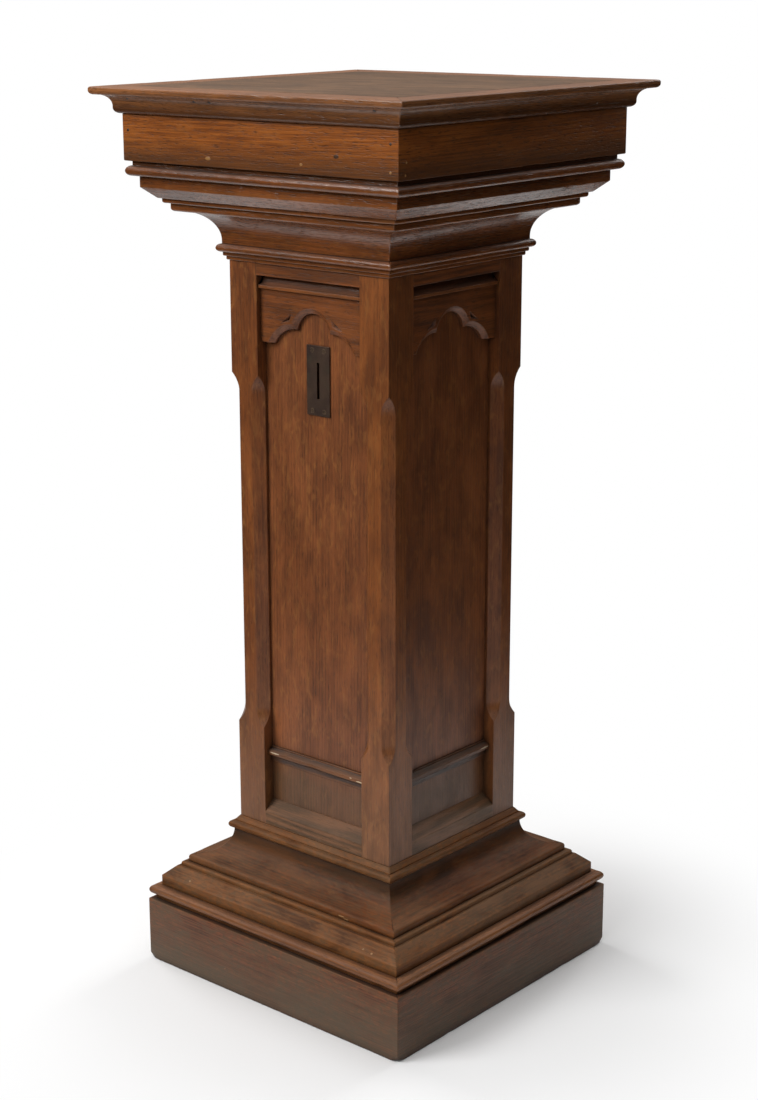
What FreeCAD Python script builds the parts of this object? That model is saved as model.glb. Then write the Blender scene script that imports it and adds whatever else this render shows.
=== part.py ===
import FreeCAD, Part
import math
import os

# A donation box: an oak pedestal with a moulded base and capital, a panelled shaft with
# trefoil arches, a coin slot in the front panel and a locked door at the back.
# Millimetres, Z up. The origin is on the floor under the middle and the slot faces -Y.
# In a section, "out" is measured outwards from the faces of the shaft.

# Shaft: four square posts, rails between them, and recessed panels
shaft_width = 268.0
shaft_height = 767.0
post_width = 47.0
rail_thickness = 32.0
rail_hidden = 62.0        # part of each rail that runs on behind the mouldings
top_rail_show = 15.5
bottom_rail_show = 17.0
sill_rise = 14.0          # weathered slope on the bottom rail, up to the panel
panel_recess = 17.0
panel_thickness = 10.0
groove_depth = 8.0
wood_fit = 0.2            # play of a tongue or tenon in its groove

# Stopped chamfers on the posts
chamfer_leg = 13.0
chamfer_stop = 25.0       # length of the curved run-out at each end
chamfer_foot = 138.0      # from the foot of the shaft up to the lower tip
chamfer_head = 146.0      # from the head of the shaft down to the upper tip

# Plinth, and the nosing (half-round edge over a sunk quirk) that base and capital share
plinth_height = 91.0
plinth_out = 93.0
plinth_thickness = 22.0
plinth_wear = 12.0        # rubbed round of the four lower corners
corner_block = 45.0
block_lift = 3.0
torus_height = 13.0
torus_out = 92.5
quirk_height = 6.0
quirk_depth = 7.0
deck_out = 61.0
deck_gap = 0.4

# Stepped mouldings, the same above and below but turned over
band_height = 14.5
band_out = 79.5
splay_rise = 14.0
splay_flat = 4.0
fillet_height = 6.5
fillet_out = 60.0
fillet_round = 3.0
step_width = 53.0         # from the band back to the hidden face of the step
lip_height = 10.5
lip_out = 52.5
lip_round = 4.5
cove_radius = 38.0
cove_out = 7.0            # slimmest part of the hollow
cove_foot = 4.0           # short upright under the hollow of the capital
bead_height = 10.5
bead_out = 13.0
weathering_rise = 9.0     # slope from the foot bead up to the shaft
weathering_out = 6.0
weathering_edge = 1.5
neck_fillet_height = 5.25
neck_fillet_outs = (3.2, 6.4)
neck_fillet_round = 1.6

# Frieze, cornice and top
frieze_height = 59.0
frieze_out = 93.0
frieze_thickness = 18.0
cornice_height = 33.5
cornice_out = 123.0
cornice_width = 50.0
cornice_edge_round = 4.0
cornice_cove = 14.0
cornice_bead = 7.0
cornice_bead_set = 1.5    # from the frieze out to the start of the bead
cornice_waist = 2.5       # upright between bead and hollow
top_thickness = 14.0
top_rebate = 9.0
top_gap = 0.5
arris = 1.5               # small rounds on the edges of the boards
mitre_gap = 0.25          # open joint left at each mitre

# Arched boards over the panels and the two moulded bars on each face
spandrel_height = 69.5
spandrel_recess = 7.0
upper_lobe = 28.0
side_lobe = 40.0
side_lobe_apart = 31.5    # from the middle line to the centre of a side lobe
side_lobe_drop = 35.0     # from the centre of the upper lobe down to the side lobes
arch_crown = 18.5         # wood left above the arch
arch_chamfer = 7.0
arch_chamfer_depth = 5.0
eyelet_points = ((0.6, 13.0), (19.0, -0.5), (3.2, 3.0))   # corners, from the cusp
eyelet_depth = 4.0
head_bar_height = 17.0
head_bar_recess = 2.5
head_bar_nose = 4.5
head_bar_hollow = 10.0
string_bar_height = 22.0
string_bar_above = 86.5   # from the foot of the shaft up to the underside of the bar
string_bar_recess = 7.0
string_bar_nose = 5.0
string_bar_fillet = 2.5
string_bar_slope = 3.0
string_bar_hollow = 7.0

# Coin slot
slot_length = 47.0
slot_width = 4.4
slot_side = 4.0           # the plate sits a little to the right of the middle
slot_below_arch = 58.0    # from the centre of the upper lobe down to the plate
plate_height = 90.0
plate_width = 38.5
plate_thickness = 2.0
plate_screw_across = 20.0
plate_screw_up = 78.0
panel_slot_play = 1.5     # the cut in the wood is this much wider all round

# Floor of the money compartment
floor_thickness = 12.0
floor_drop = 6.0          # below the top of the sill
bearer_height = 15.0
bearer_width = 12.0
floor_gap = 0.6

# Door at the back
door_thickness = 20.0
door_gap = 1.5
door_lock_gap = 2.0
door_stile = 38.0
door_rail = 46.0
door_panel_thickness = 8.0
door_panel_recess = 6.0

# Butt hinges
hinge_height = 60.0
hinge_inset = 70.0        # from the end of the door to the middle of a hinge
leaf_thickness = 2.0
leaf_width = 17.0
knuckle_radius = 4.0
knuckle_stand = 0.4       # from the door's face to the knuckle
knuckle_gap = 0.3
pin_radius = 1.95
pin_play = 0.05
pin_head_radius = 3.0
pin_head_height = 1.5
hinge_screw_pitch = 20.0

# Lock, keeper and keyhole
lock_width = 32.0
lock_height = 57.0
lock_depth = 13.0
lock_wall = 1.5
lock_setback = 5.0        # from the closing edge of the door
lock_tab = 10.0
lock_screw_across = 12.0
bolt_thickness = 7.0
bolt_height = 14.0
bolt_length = 29.0
bolt_throw = 14.0
bolt_play = 0.1
bolt_rib = 3.0
keeper_height = 52.0
keeper_width = 20.0
keeper_thickness = 1.5
keeper_play = 0.6
keeper_screw_apart = 38.0
keyhole_drop = 17.0       # from the bolt down to the keyhole
keyhole_radius = 3.3
keyhole_slot = 2.6
keyhole_length = 10.0
escutcheon_width = 24.0
escutcheon_height = 38.0
escutcheon_thickness = 1.2
pin_apart = 30.0
nail_head = 1.8
nail_shank = 0.8
nail_length = 8.0

# Wood screws with slotted countersunk heads
screw_head = 3.2
screw_shank = 1.6
screw_length = 11.0
screw_slot = 0.8
screw_slot_depth = 0.9
screw_play = 0.05

Vector = FreeCAD.Vector
up = Vector(0, 0, 1)
sides = {"front": 0, "right": 90, "rear": 180, "left": 270}
panelled = ("front", "right", "left")

# Heights, from the floor up
half = shaft_width / 2
deck_top = plinth_height + quirk_height + torus_height
step_height = band_height + splay_rise + fillet_height
base_step_top = deck_top + step_height
base_cove_top = base_step_top + lip_height + cove_radius
foot_bead_top = base_cove_top + bead_height
foot = foot_bead_top + weathering_rise
head = foot + shaft_height
neck_fillets_top = head + neck_fillet_height * len(neck_fillet_outs)
neck_top = neck_fillets_top + bead_height
cove_top = neck_top + cove_foot + cove_radius + lip_height
crown_bottom = cove_top + step_height
crown_top = crown_bottom + torus_height + quirk_height
frieze_top = crown_top + frieze_height
top = frieze_top + cornice_height

# Places that several pieces share
opening = shaft_width - 2 * post_width
panel_face = half - panel_recess
panel_back = panel_face - panel_thickness
sill = foot + bottom_rail_show + sill_rise
lintel = head - top_rail_show
rail_foot = foot - rail_hidden
rail_head = head + rail_hidden
spandrel_top = lintel - head_bar_height
lobe_z = spandrel_top - arch_crown - arch_chamfer - upper_lobe
slot_z = lobe_z - slot_below_arch
reach = half + cornice_out + cornice_width


def box(x, y, z):
    """Block between the low and high ends given for each axis."""
    return Part.makeBox(x[1] - x[0], y[1] - y[0], z[1] - z[0], Vector(x[0], y[0], z[0]))


def turned(shape, angle):
    """Copy of a shape turned about the middle of the box."""
    copy = shape.copy()
    copy.rotate(Vector(0, 0, 0), up, angle)
    return copy


def aimed(shape, point, direction):
    """Copy of a shape made along +Z, moved to a point and aimed along a direction."""
    copy = shape.copy()
    copy.Placement = FreeCAD.Placement(point, FreeCAD.Rotation(up, direction))
    return copy


def save(name, pieces):
    """Write one node: a single solid, or a group of separate solids."""
    shape = pieces if isinstance(pieces, Part.Shape) else Part.makeCompound(list(pieces))
    shape.exportStep("parts/" + name + ".step")


def arc_to(start, end, centre):
    """Move of an outline along the short arc about a centre: a point on the way, and the end."""
    radius = math.hypot(start[0] - centre[0], start[1] - centre[1])
    middle_u = (start[0] + end[0]) / 2 - centre[0]
    middle_v = (start[1] + end[1]) / 2 - centre[1]
    stretch = radius / math.hypot(middle_u, middle_v)
    return ((centre[0] + middle_u * stretch, centre[1] + middle_v * stretch), end)


def outline(start, moves, place):
    """Face inside a closed outline. A move is a point, or a point on an arc with the arc's end."""
    edges = []
    here = place(*start)
    closed = isinstance(moves[-1][0], tuple) and moves[-1][1] == start
    for move in moves if closed else moves + [start]:
        if isinstance(move[0], tuple):
            there = place(*move[1])
            edges.append(Part.Arc(here, place(*move[0]), there).toShape())
        else:
            there = place(*move)
            edges.append(Part.LineSegment(here, there).toShape())
        here = there
    return Part.Face(Part.Wire(edges))


def front_section(start, moves, level, rise):
    """Section on the front of the box: out from the shaft's face, and up or down from a level."""
    return outline(start, moves, lambda out, v: Vector(0, -half - out, level + rise * v))


def run_along_x(face, half_length):
    """Bar of one section, from -half_length to half_length."""
    bar = face.extrude(Vector(2 * half_length, 0, 0))
    bar.translate(Vector(-half_length, 0, 0))
    return bar


def mitred_strips(face):
    """Four strips of one section, one on each side of the box, mitred at the corners."""
    corners = [(0, -mitre_gap), (-reach, -reach - mitre_gap), (reach, -reach - mitre_gap)]
    triangle = Part.makePolygon([Vector(x, y, 0) for x, y in corners + corners[:1]])
    quarter = Part.Face(triangle).extrude(Vector(0, 0, top))
    strip = run_along_x(face, reach).common(quarter).Solids[0]
    return {side: turned(strip, angle) for side, angle in sides.items()}


def screw(play):
    """Countersunk screw with its head at the origin; with play, the hole it goes in."""
    sink = screw_head - screw_shank
    head_cone = Part.makeCone(screw_head + play, screw_shank + play, sink)
    shank = Part.makeCylinder(screw_shank + play, screw_length - sink, Vector(0, 0, sink))
    return head_cone.fuse(shank)


def slotted_screw():
    """The screw itself, with its driver slot."""
    half_slot = screw_slot / 2
    slot = box((-screw_head, screw_head), (-half_slot, half_slot), (0, screw_slot_depth))
    return screw(0).cut(slot)


def screws_at(places):
    """Screws, and the one tool that cuts their holes, for pairs of a point and a direction."""
    screws = [aimed(slotted_screw(), point, way).Solids[0] for point, way in places]
    holes = Part.makeCompound([aimed(screw(screw_play), point, way) for point, way in places])
    return screws, holes


def plinth():
    """Mitred boards on edge, rubbed round at the lower corners, with a block in each corner."""
    inner = plinth_out - plinth_thickness
    rounded = plinth_out - arris
    section = front_section(
        (inner, 0),
        [
            (rounded, 0),
            arc_to((rounded, 0), (plinth_out, arris), (rounded, arris)),
            (plinth_out, plinth_height - arris),
            arc_to((plinth_out, plinth_height - arris), (rounded, plinth_height),
                   (rounded, plinth_height - arris)),
            (inner, plinth_height),
        ],
        0, 1)
    corner = (half + plinth_out) * math.sqrt(2)
    flat = corner - plinth_wear
    worn = outline(
        (corner, 0),
        [(corner, plinth_wear), arc_to((corner, plinth_wear), (flat, 0), (flat, plinth_wear))],
        lambda out, z: Vector(out, 0, z))
    worn = worn.extrude(Vector(0, 2 * corner, 0))
    worn.translate(Vector(0, -corner, 0))
    for side, board in mitred_strips(section).items():
        for angle in (45, 135, 225, 315):
            board = board.cut(turned(worn, angle))
        save("plinth_" + side, board)
    far = half + inner
    near = far - corner_block
    block = box((near, far), (near, far), (block_lift, plinth_height))
    save("plinth_corner_blocks", [turned(block, angle) for angle in sides.values()])


def nosing(name, deck_name, level, rise):
    """Half-round nosing with a sunk quirk beyond it, mitred round a plain deck board."""
    radius = torus_height / 2
    spring = torus_out - radius
    quirk_out = torus_out - quirk_depth
    full = torus_height + quirk_height
    section = front_section(
        (deck_out, 0),
        [
            (spring, 0),
            ((torus_out, radius), (spring, torus_height)),
            (quirk_out, torus_height),
            (quirk_out, full),
            (deck_out, full),
        ],
        level, rise)
    save(name, mitred_strips(section).values())
    edge = half + deck_out - deck_gap
    levels = sorted((level, level + rise * full))
    save(deck_name, box((-edge, edge), (-edge, edge), levels))


def step_moulding(name, level, rise):
    """Small rounded fillet, short flat, splay and upright band."""
    inner = band_out - step_width
    splay_start = fillet_out + splay_flat
    splay_end = fillet_height + splay_rise
    rounded = fillet_out - fillet_round
    section = front_section(
        (inner, 0),
        [
            (rounded, 0),
            arc_to((rounded, 0), (fillet_out, fillet_round), (rounded, fillet_round)),
            (fillet_out, fillet_height),
            (splay_start, fillet_height),
            (band_out, splay_end),
            (band_out, step_height),
            (inner, step_height),
        ],
        level, rise)
    save(name, mitred_strips(section).values())


def cove_moulding(name, level, rise, upright):
    """Large hollow that spreads from the shaft to a rounded lip."""
    hollow_end = (cove_out + cove_radius, upright + cove_radius)
    rounded = lip_out - lip_round
    full = hollow_end[1] + lip_height
    start = [(cove_out, 0), (cove_out, upright)] if upright else [(cove_out, 0)]
    section = front_section(
        (0, 0),
        start + [
            arc_to((cove_out, upright), hollow_end, (hollow_end[0], upright)),
            (rounded, hollow_end[1]),
            arc_to((rounded, hollow_end[1]), (lip_out, hollow_end[1] + lip_round),
                   (rounded, hollow_end[1] + lip_round)),
            (lip_out, full),
            (0, full),
        ],
        level, rise)
    save(name, mitred_strips(section).values())


def foot_bead():
    """Half-round bead at the foot of the shaft under a sloped weathering."""
    radius = bead_height / 2
    spring = bead_out - radius
    section = front_section(
        (0, 0),
        [
            (spring, 0),
            ((bead_out, radius), (spring, bead_height)),
            (weathering_out, bead_height),
            (weathering_out, bead_height + weathering_edge),
            (0, bead_height + weathering_rise),
        ],
        base_cove_top, 1)
    save("foot_bead", mitred_strips(section).values())


def neck_bead():
    """Bead round the head of the shaft over two small fillets."""
    radius = bead_height / 2
    spring = bead_out - radius
    moves = []
    for index, fillet in enumerate(neck_fillet_outs):
        low = index * neck_fillet_height
        rounded = fillet - neck_fillet_round
        moves.append((rounded, low))
        moves.append(arc_to((rounded, low), (fillet, low + neck_fillet_round),
                            (rounded, low + neck_fillet_round)))
        moves.append((fillet, low + neck_fillet_height))
    bead_foot = len(neck_fillet_outs) * neck_fillet_height
    bead_end = bead_foot + bead_height
    moves.append((spring, bead_foot))
    moves.append(((bead_out, bead_foot + radius), (spring, bead_end)))
    moves.append((0, bead_end))
    save("neck_bead", mitred_strips(front_section((0, 0), moves, head, 1)).values())


def frieze():
    """Plain mitred boards of the head."""
    inner = frieze_out - frieze_thickness
    rounded = frieze_out - arris
    section = front_section(
        (inner, 0),
        [
            (rounded, 0),
            arc_to((rounded, 0), (frieze_out, arris), (rounded, arris)),
            (frieze_out, frieze_height),
            (inner, frieze_height),
        ],
        crown_top, 1)
    for side, board in mitred_strips(section).items():
        save("frieze_" + side, board)


def cornice():
    """Cornice strips (bead, hollow and square edge), with the top board let in flush."""
    inner = cornice_out - cornice_width
    ledge = cornice_height - top_thickness
    bead_start = frieze_out + cornice_bead_set
    bead_face = bead_start + cornice_bead
    hollow_start = cornice_bead + cornice_waist
    hollow_end = (bead_face + cornice_cove, hollow_start + cornice_cove)
    rounded = cornice_out - cornice_edge_round
    edge_foot = hollow_end[1] + cornice_edge_round
    soft = cornice_out - arris
    section = front_section(
        (inner, 0),
        [
            (bead_start, 0),
            arc_to((bead_start, 0), (bead_face, cornice_bead), (bead_start, cornice_bead)),
            (bead_face, hollow_start),
            arc_to((bead_face, hollow_start), hollow_end, (hollow_end[0], hollow_start)),
            (rounded, hollow_end[1]),
            arc_to((rounded, hollow_end[1]), (cornice_out, edge_foot), (rounded, edge_foot)),
            (cornice_out, cornice_height - arris),
            arc_to((cornice_out, cornice_height - arris), (soft, cornice_height),
                   (soft, cornice_height - arris)),
            (inner + top_rebate, cornice_height),
            (inner + top_rebate, ledge),
            (inner, ledge),
        ],
        frieze_top, 1)
    save("cornice", mitred_strips(section).values())
    edge = half + inner + top_rebate - top_gap
    save("top_board", box((-edge, edge), (-edge, edge), (top - top_thickness, top)))


def chamfer_tool(edge_x, edge_y, outward):
    """Tool that planes off a post's upright edge and runs out in a curve at both ends."""
    depth = chamfer_leg / math.sqrt(2)
    clear = 2 * depth
    low_tip = foot + chamfer_foot
    high_tip = head - chamfer_head
    low = low_tip + chamfer_stop
    high = high_tip - chamfer_stop
    radius = (chamfer_stop ** 2 + depth ** 2) / (2 * depth)
    section = outline(
        (0, low),
        [
            (0, high),
            arc_to((0, high), (depth, high_tip), (radius, high)),
            (clear, high_tip),
            (clear, low_tip),
            (depth, low_tip),
            arc_to((depth, low_tip), (0, low), (radius, low)),
        ],
        lambda out, z: Vector(out - depth, 0, z))
    tool = section.extrude(Vector(0, 4 * depth, 0))
    tool.translate(Vector(0, -2 * depth, 0))
    tool.rotate(Vector(0, 0, 0), up, outward)
    tool.translate(Vector(edge_x, edge_y, 0))
    return tool


def posts(rear_cuts):
    """Corner posts with grooves for panels and rails; the rear pair takes the door's fittings."""
    near = half - post_width
    blank = box((near, half), (-half, -near), (deck_top, crown_bottom))
    rails_z = (rail_foot, rail_head)
    to_left = box((near, near + groove_depth), (-panel_face, -panel_back), rails_z)
    to_rear = box((panel_back, panel_face), (-near - groove_depth, -near), rails_z)
    blank = blank.cut(chamfer_tool(half, -half, -45))
    beside = chamfer_tool(half, -near, 45)
    in_front = chamfer_tool(near, -half, 225)
    save("post_front_right", blank.cut(Part.makeCompound([to_left, to_rear, beside, in_front])))
    mirrored = turned(blank, 270)
    swapped = [turned(tool, 270) for tool in (to_left, to_rear, beside, in_front)]
    save("post_front_left", mirrored.cut(Part.makeCompound(swapped)))
    tenons = [
        box((near, near + groove_depth), (-panel_face, -panel_back), z)
        for z in ((rail_foot, sill), (lintel, rail_head))
    ]
    tenons_ahead = [
        box((panel_back, panel_face), (-near - groove_depth, -near), z)
        for z in ((rail_foot, sill), (lintel, rail_head))
    ]
    right = [turned(tool, 90) for tool in [to_left, in_front] + tenons_ahead]
    left = [turned(tool, 180) for tool in [to_rear, beside] + tenons]
    save("post_rear_right", turned(blank, 90).cut(Part.makeCompound(right)).cut(rear_cuts["right"]))
    save("post_rear_left", turned(blank, 180).cut(Part.makeCompound(left)).cut(rear_cuts["left"]))


def tenoned(rail, z):
    """Rail with a stub tenon at each end, as thick as the panels' groove less the play."""
    tip = opening / 2 + groove_depth - wood_fit
    tenon = box((-tip, tip), (-panel_face + wood_fit, -panel_back - wood_fit), z)
    return rail.fuse(tenon).removeSplitter()


def rails():
    """Top and bottom rails; those over panels are grooved, and the lower ones are weathered."""
    x = (-opening / 2, opening / 2)
    back = half - rail_thickness
    y = (-half, -back)
    plain_top = tenoned(box(x, y, (lintel, rail_head)), (lintel, rail_head))
    plain_bottom = tenoned(box(x, y, (rail_foot, sill)), (rail_foot, sill))
    groove_y = (-panel_face, -panel_back)
    tip = opening / 2 + groove_depth
    top_groove = box((-tip, tip), groove_y, (lintel, lintel + groove_depth))
    bottom_groove = box((-tip, tip), groove_y, (sill - groove_depth, sill))
    slope = outline(
        (0, sill - sill_rise),
        [(-panel_recess, sill), (0, sill)],
        lambda out, z: Vector(0, -half - out, z))
    slope = run_along_x(slope, tip)
    grooved_top = plain_top.cut(top_groove)
    sloped_bottom = plain_bottom.cut(bottom_groove).cut(slope)
    for side in panelled:
        save("top_rail_" + side, turned(grooved_top, sides[side]))
        save("bottom_rail_" + side, turned(sloped_bottom, sides[side]))
    save("top_rail_rear", turned(plain_top, sides["rear"]))
    save("bottom_rail_rear", turned(plain_bottom, sides["rear"]))


def panels():
    """Panels held in the grooves; the front one has the coin slot and its plate."""
    edge = opening / 2 + groove_depth - wood_fit
    low = sill - groove_depth + wood_fit
    high = lintel + groove_depth - wood_fit
    panel = box((-edge, edge), (-panel_face, -panel_back), (low, high))
    for side in ("right", "left"):
        save("panel_" + side, turned(panel, sides[side]))
    plate_front = panel_face + plate_thickness
    places = [
        (Vector(slot_side + across, -plate_front, slot_z + rise), Vector(0, 1, 0))
        for across in (-plate_screw_across / 2, plate_screw_across / 2)
        for rise in (-plate_screw_up / 2, plate_screw_up / 2)
    ]
    screws, holes = screws_at(places)
    through = (-half, 0)
    cut_x = slot_width / 2 + panel_slot_play
    cut_z = slot_length / 2 + panel_slot_play
    cut = box((slot_side - cut_x, slot_side + cut_x), through, (slot_z - cut_z, slot_z + cut_z))
    save("panel_front", panel.cut(cut).cut(holes))
    plate = box(
        (slot_side - plate_width / 2, slot_side + plate_width / 2),
        (-plate_front, -panel_face),
        (slot_z - plate_height / 2, slot_z + plate_height / 2))
    slot = box(
        (slot_side - slot_width / 2, slot_side + slot_width / 2), through,
        (slot_z - slot_length / 2, slot_z + slot_length / 2))
    save("slot_plate", plate.cut(slot).cut(holes))
    save("slot_plate_screws", screws)


def arch_lobe(x, z, radius):
    """Tool for one lobe of the arch: a chamfer that narrows to a straight hole."""
    face_y = -half + spandrel_recess
    inward = Vector(0, 1, 0)
    chamfer = Part.makeCone(radius + arch_chamfer, radius, arch_chamfer_depth,
                            Vector(x, face_y, z), inward)
    hole = Part.makeCylinder(radius, panel_recess, Vector(x, face_y, z), inward)
    return chamfer.fuse(hole)


def cusp():
    """Point on the board's face where the chamfers of the upper and right lobes meet."""
    big = upper_lobe + arch_chamfer
    side = side_lobe + arch_chamfer
    apart = math.hypot(side_lobe_apart, side_lobe_drop)
    along = (big ** 2 - side ** 2 + apart ** 2) / (2 * apart)
    across = math.sqrt(big ** 2 - along ** 2)
    dx = side_lobe_apart / apart
    dz = -side_lobe_drop / apart
    return dx * along - dz * across, lobe_z + dz * along + dx * across


def eyelet(mirror):
    """Three-cornered chip cut above a cusp, down to one deep point."""
    cusp_x, cusp_z = cusp()
    face_y = -half + spandrel_recess
    corners = [Vector(mirror * (cusp_x + x), face_y, cusp_z + z) for x, z in eyelet_points]
    deep = (corners[0] + corners[1] + corners[2]) * (1 / 3) + Vector(0, eyelet_depth, 0)
    faces = [Part.Face(Part.makePolygon(corners + corners[:1]))]
    for first, second in zip(corners, corners[1:] + corners[:1]):
        faces.append(Part.Face(Part.makePolygon([first, second, deep, first])))
    chip = Part.Solid(Part.Shell(faces))
    chip.fix(0.001, 0.001, 0.001)
    return chip


def spandrels():
    """Boards pierced by a trefoil arch, laid on the heads of the panels."""
    x = (-opening / 2, opening / 2)
    board = box(x, (-half + spandrel_recess, -panel_face), (spandrel_top - spandrel_height, spandrel_top))
    board = board.cut(arch_lobe(0, lobe_z, upper_lobe))
    for mirror in (-1, 1):
        board = board.cut(arch_lobe(mirror * side_lobe_apart, lobe_z - side_lobe_drop, side_lobe))
        board = board.cut(eyelet(mirror))
    for side in panelled:
        save("spandrel_" + side, turned(board, sides[side]))


def bars():
    """Hollow bar under each top rail, and a nosed string bar low on each panel."""
    nose = -head_bar_recess
    deep = nose - head_bar_hollow
    lip = (nose, head_bar_nose)
    hollow_top = (deep, head_bar_nose + head_bar_hollow)
    head_bar = front_section(
        (-panel_recess, 0),
        [
            (nose, 0),
            lip,
            arc_to(lip, hollow_top, (nose, hollow_top[1])),
            (deep, head_bar_height),
            (-panel_recess, head_bar_height),
        ],
        spandrel_top, 1)
    bar = run_along_x(head_bar, opening / 2)
    save("head_bars", [turned(bar, sides[side]) for side in panelled])

    nose = -string_bar_recess
    back = -panel_recess
    crest = back + string_bar_fillet
    slope_top = string_bar_height - string_bar_fillet
    nose_top = slope_top - string_bar_slope
    nose_foot = nose_top - string_bar_nose
    hollow_end = (nose - string_bar_hollow, nose_foot - string_bar_hollow)
    string_bar = front_section(
        (back, 0),
        [
            (hollow_end[0], 0),
            hollow_end,
            arc_to(hollow_end, (nose, nose_foot), (nose, hollow_end[1])),
            (nose, nose_top),
            (crest, slope_top),
            (crest, string_bar_height),
            (back, string_bar_height),
        ],
        foot + string_bar_above, 1)
    bar = run_along_x(string_bar, opening / 2)
    save("string_bars", [turned(bar, sides[side]) for side in panelled])


def money_floor():
    """Loose floor board, notched round the posts, on two bearers."""
    edge = half - rail_thickness - floor_gap
    notch = half - post_width - floor_gap
    level = sill - floor_drop
    low = level - floor_thickness
    board = box((-edge, edge), (-edge, edge), (low, level))
    corner = box((notch, half), (notch, half), (low, level))
    for angle in sides.values():
        board = board.cut(turned(corner, angle))
    save("money_floor", board)
    rail_back = half - rail_thickness
    bearer = box((-notch, notch), (-rail_back, -rail_back + bearer_width), (low - bearer_height, low))
    save("floor_bearers", [bearer, turned(bearer, sides["rear"])])


def hinges(hinge_edge, levels, outside):
    """Two butt hinges with their pins: leaves let into post and door, knuckles outside."""
    post_x = -opening / 2
    axis_x = (post_x + hinge_edge) / 2
    axis_y = outside + knuckle_stand + knuckle_radius
    third = hinge_height / 3
    post_x_range = (post_x - leaf_thickness, post_x)
    door_x_range = (hinge_edge, hinge_edge + leaf_thickness)
    leaf_y = (outside - leaf_width, outside)
    post_leaves, door_leaves, pins = [], [], []
    post_tools, door_tools, post_places, door_places = [], [], [], []
    for level in levels:
        low = level - hinge_height / 2
        high = level + hinge_height / 2
        bore = Part.makeCylinder(pin_radius + pin_play, hinge_height, Vector(axis_x, axis_y, low))

        def knuckle(x_range, start, end):
            barrel = Part.makeCylinder(knuckle_radius, end - start, Vector(axis_x, axis_y, start))
            return barrel.fuse(box(x_range, (outside, axis_y), (start, end)))

        post_leaf = box(post_x_range, leaf_y, (low, high))
        for start, end in ((low, low + third), (high - third, high)):
            post_leaf = post_leaf.fuse(knuckle(post_x_range, start, end))
        door_leaf = box(door_x_range, leaf_y, (low, high))
        door_leaf = door_leaf.fuse(
            knuckle(door_x_range, low + third + knuckle_gap, high - third - knuckle_gap))
        post_leaves.append(post_leaf.cut(bore).removeSplitter())
        door_leaves.append(door_leaf.cut(bore).removeSplitter())
        pin = Part.makeCylinder(pin_radius, hinge_height, Vector(axis_x, axis_y, low))
        pin_head = Part.makeCylinder(pin_head_radius, pin_head_height, Vector(axis_x, axis_y, high))
        pins.append(pin.fuse(pin_head).removeSplitter())
        post_tools.append(box(post_x_range, leaf_y, (low, high)))
        door_tools.append(box(door_x_range, leaf_y, (low, high)))
        for rise in (-hinge_screw_pitch, 0, hinge_screw_pitch):
            middle_y = outside - leaf_width / 2
            post_places.append((Vector(post_x, middle_y, level + rise), Vector(-1, 0, 0)))
            door_places.append((Vector(hinge_edge, middle_y, level + rise), Vector(1, 0, 0)))
    post_screws, post_holes = screws_at(post_places)
    door_screws, door_holes = screws_at(door_places)
    save("hinge_post_leaves", [leaf.cut(post_holes).Solids[0] for leaf in post_leaves])
    save("hinge_door_leaves", [leaf.cut(door_holes).Solids[0] for leaf in door_leaves])
    save("hinge_pins", pins)
    return post_screws, post_tools + [post_holes], door_screws, door_tools + [door_holes]


def keyhole(x, z, y):
    """Round hole with a slot below it, through the given depth."""
    hole = Part.makeCylinder(keyhole_radius, y[1] - y[0], Vector(x, y[0], z), Vector(0, 1, 0))
    slot = box((x - keyhole_slot / 2, x + keyhole_slot / 2), y, (z - keyhole_length, z))
    return hole.fuse(slot)


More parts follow.
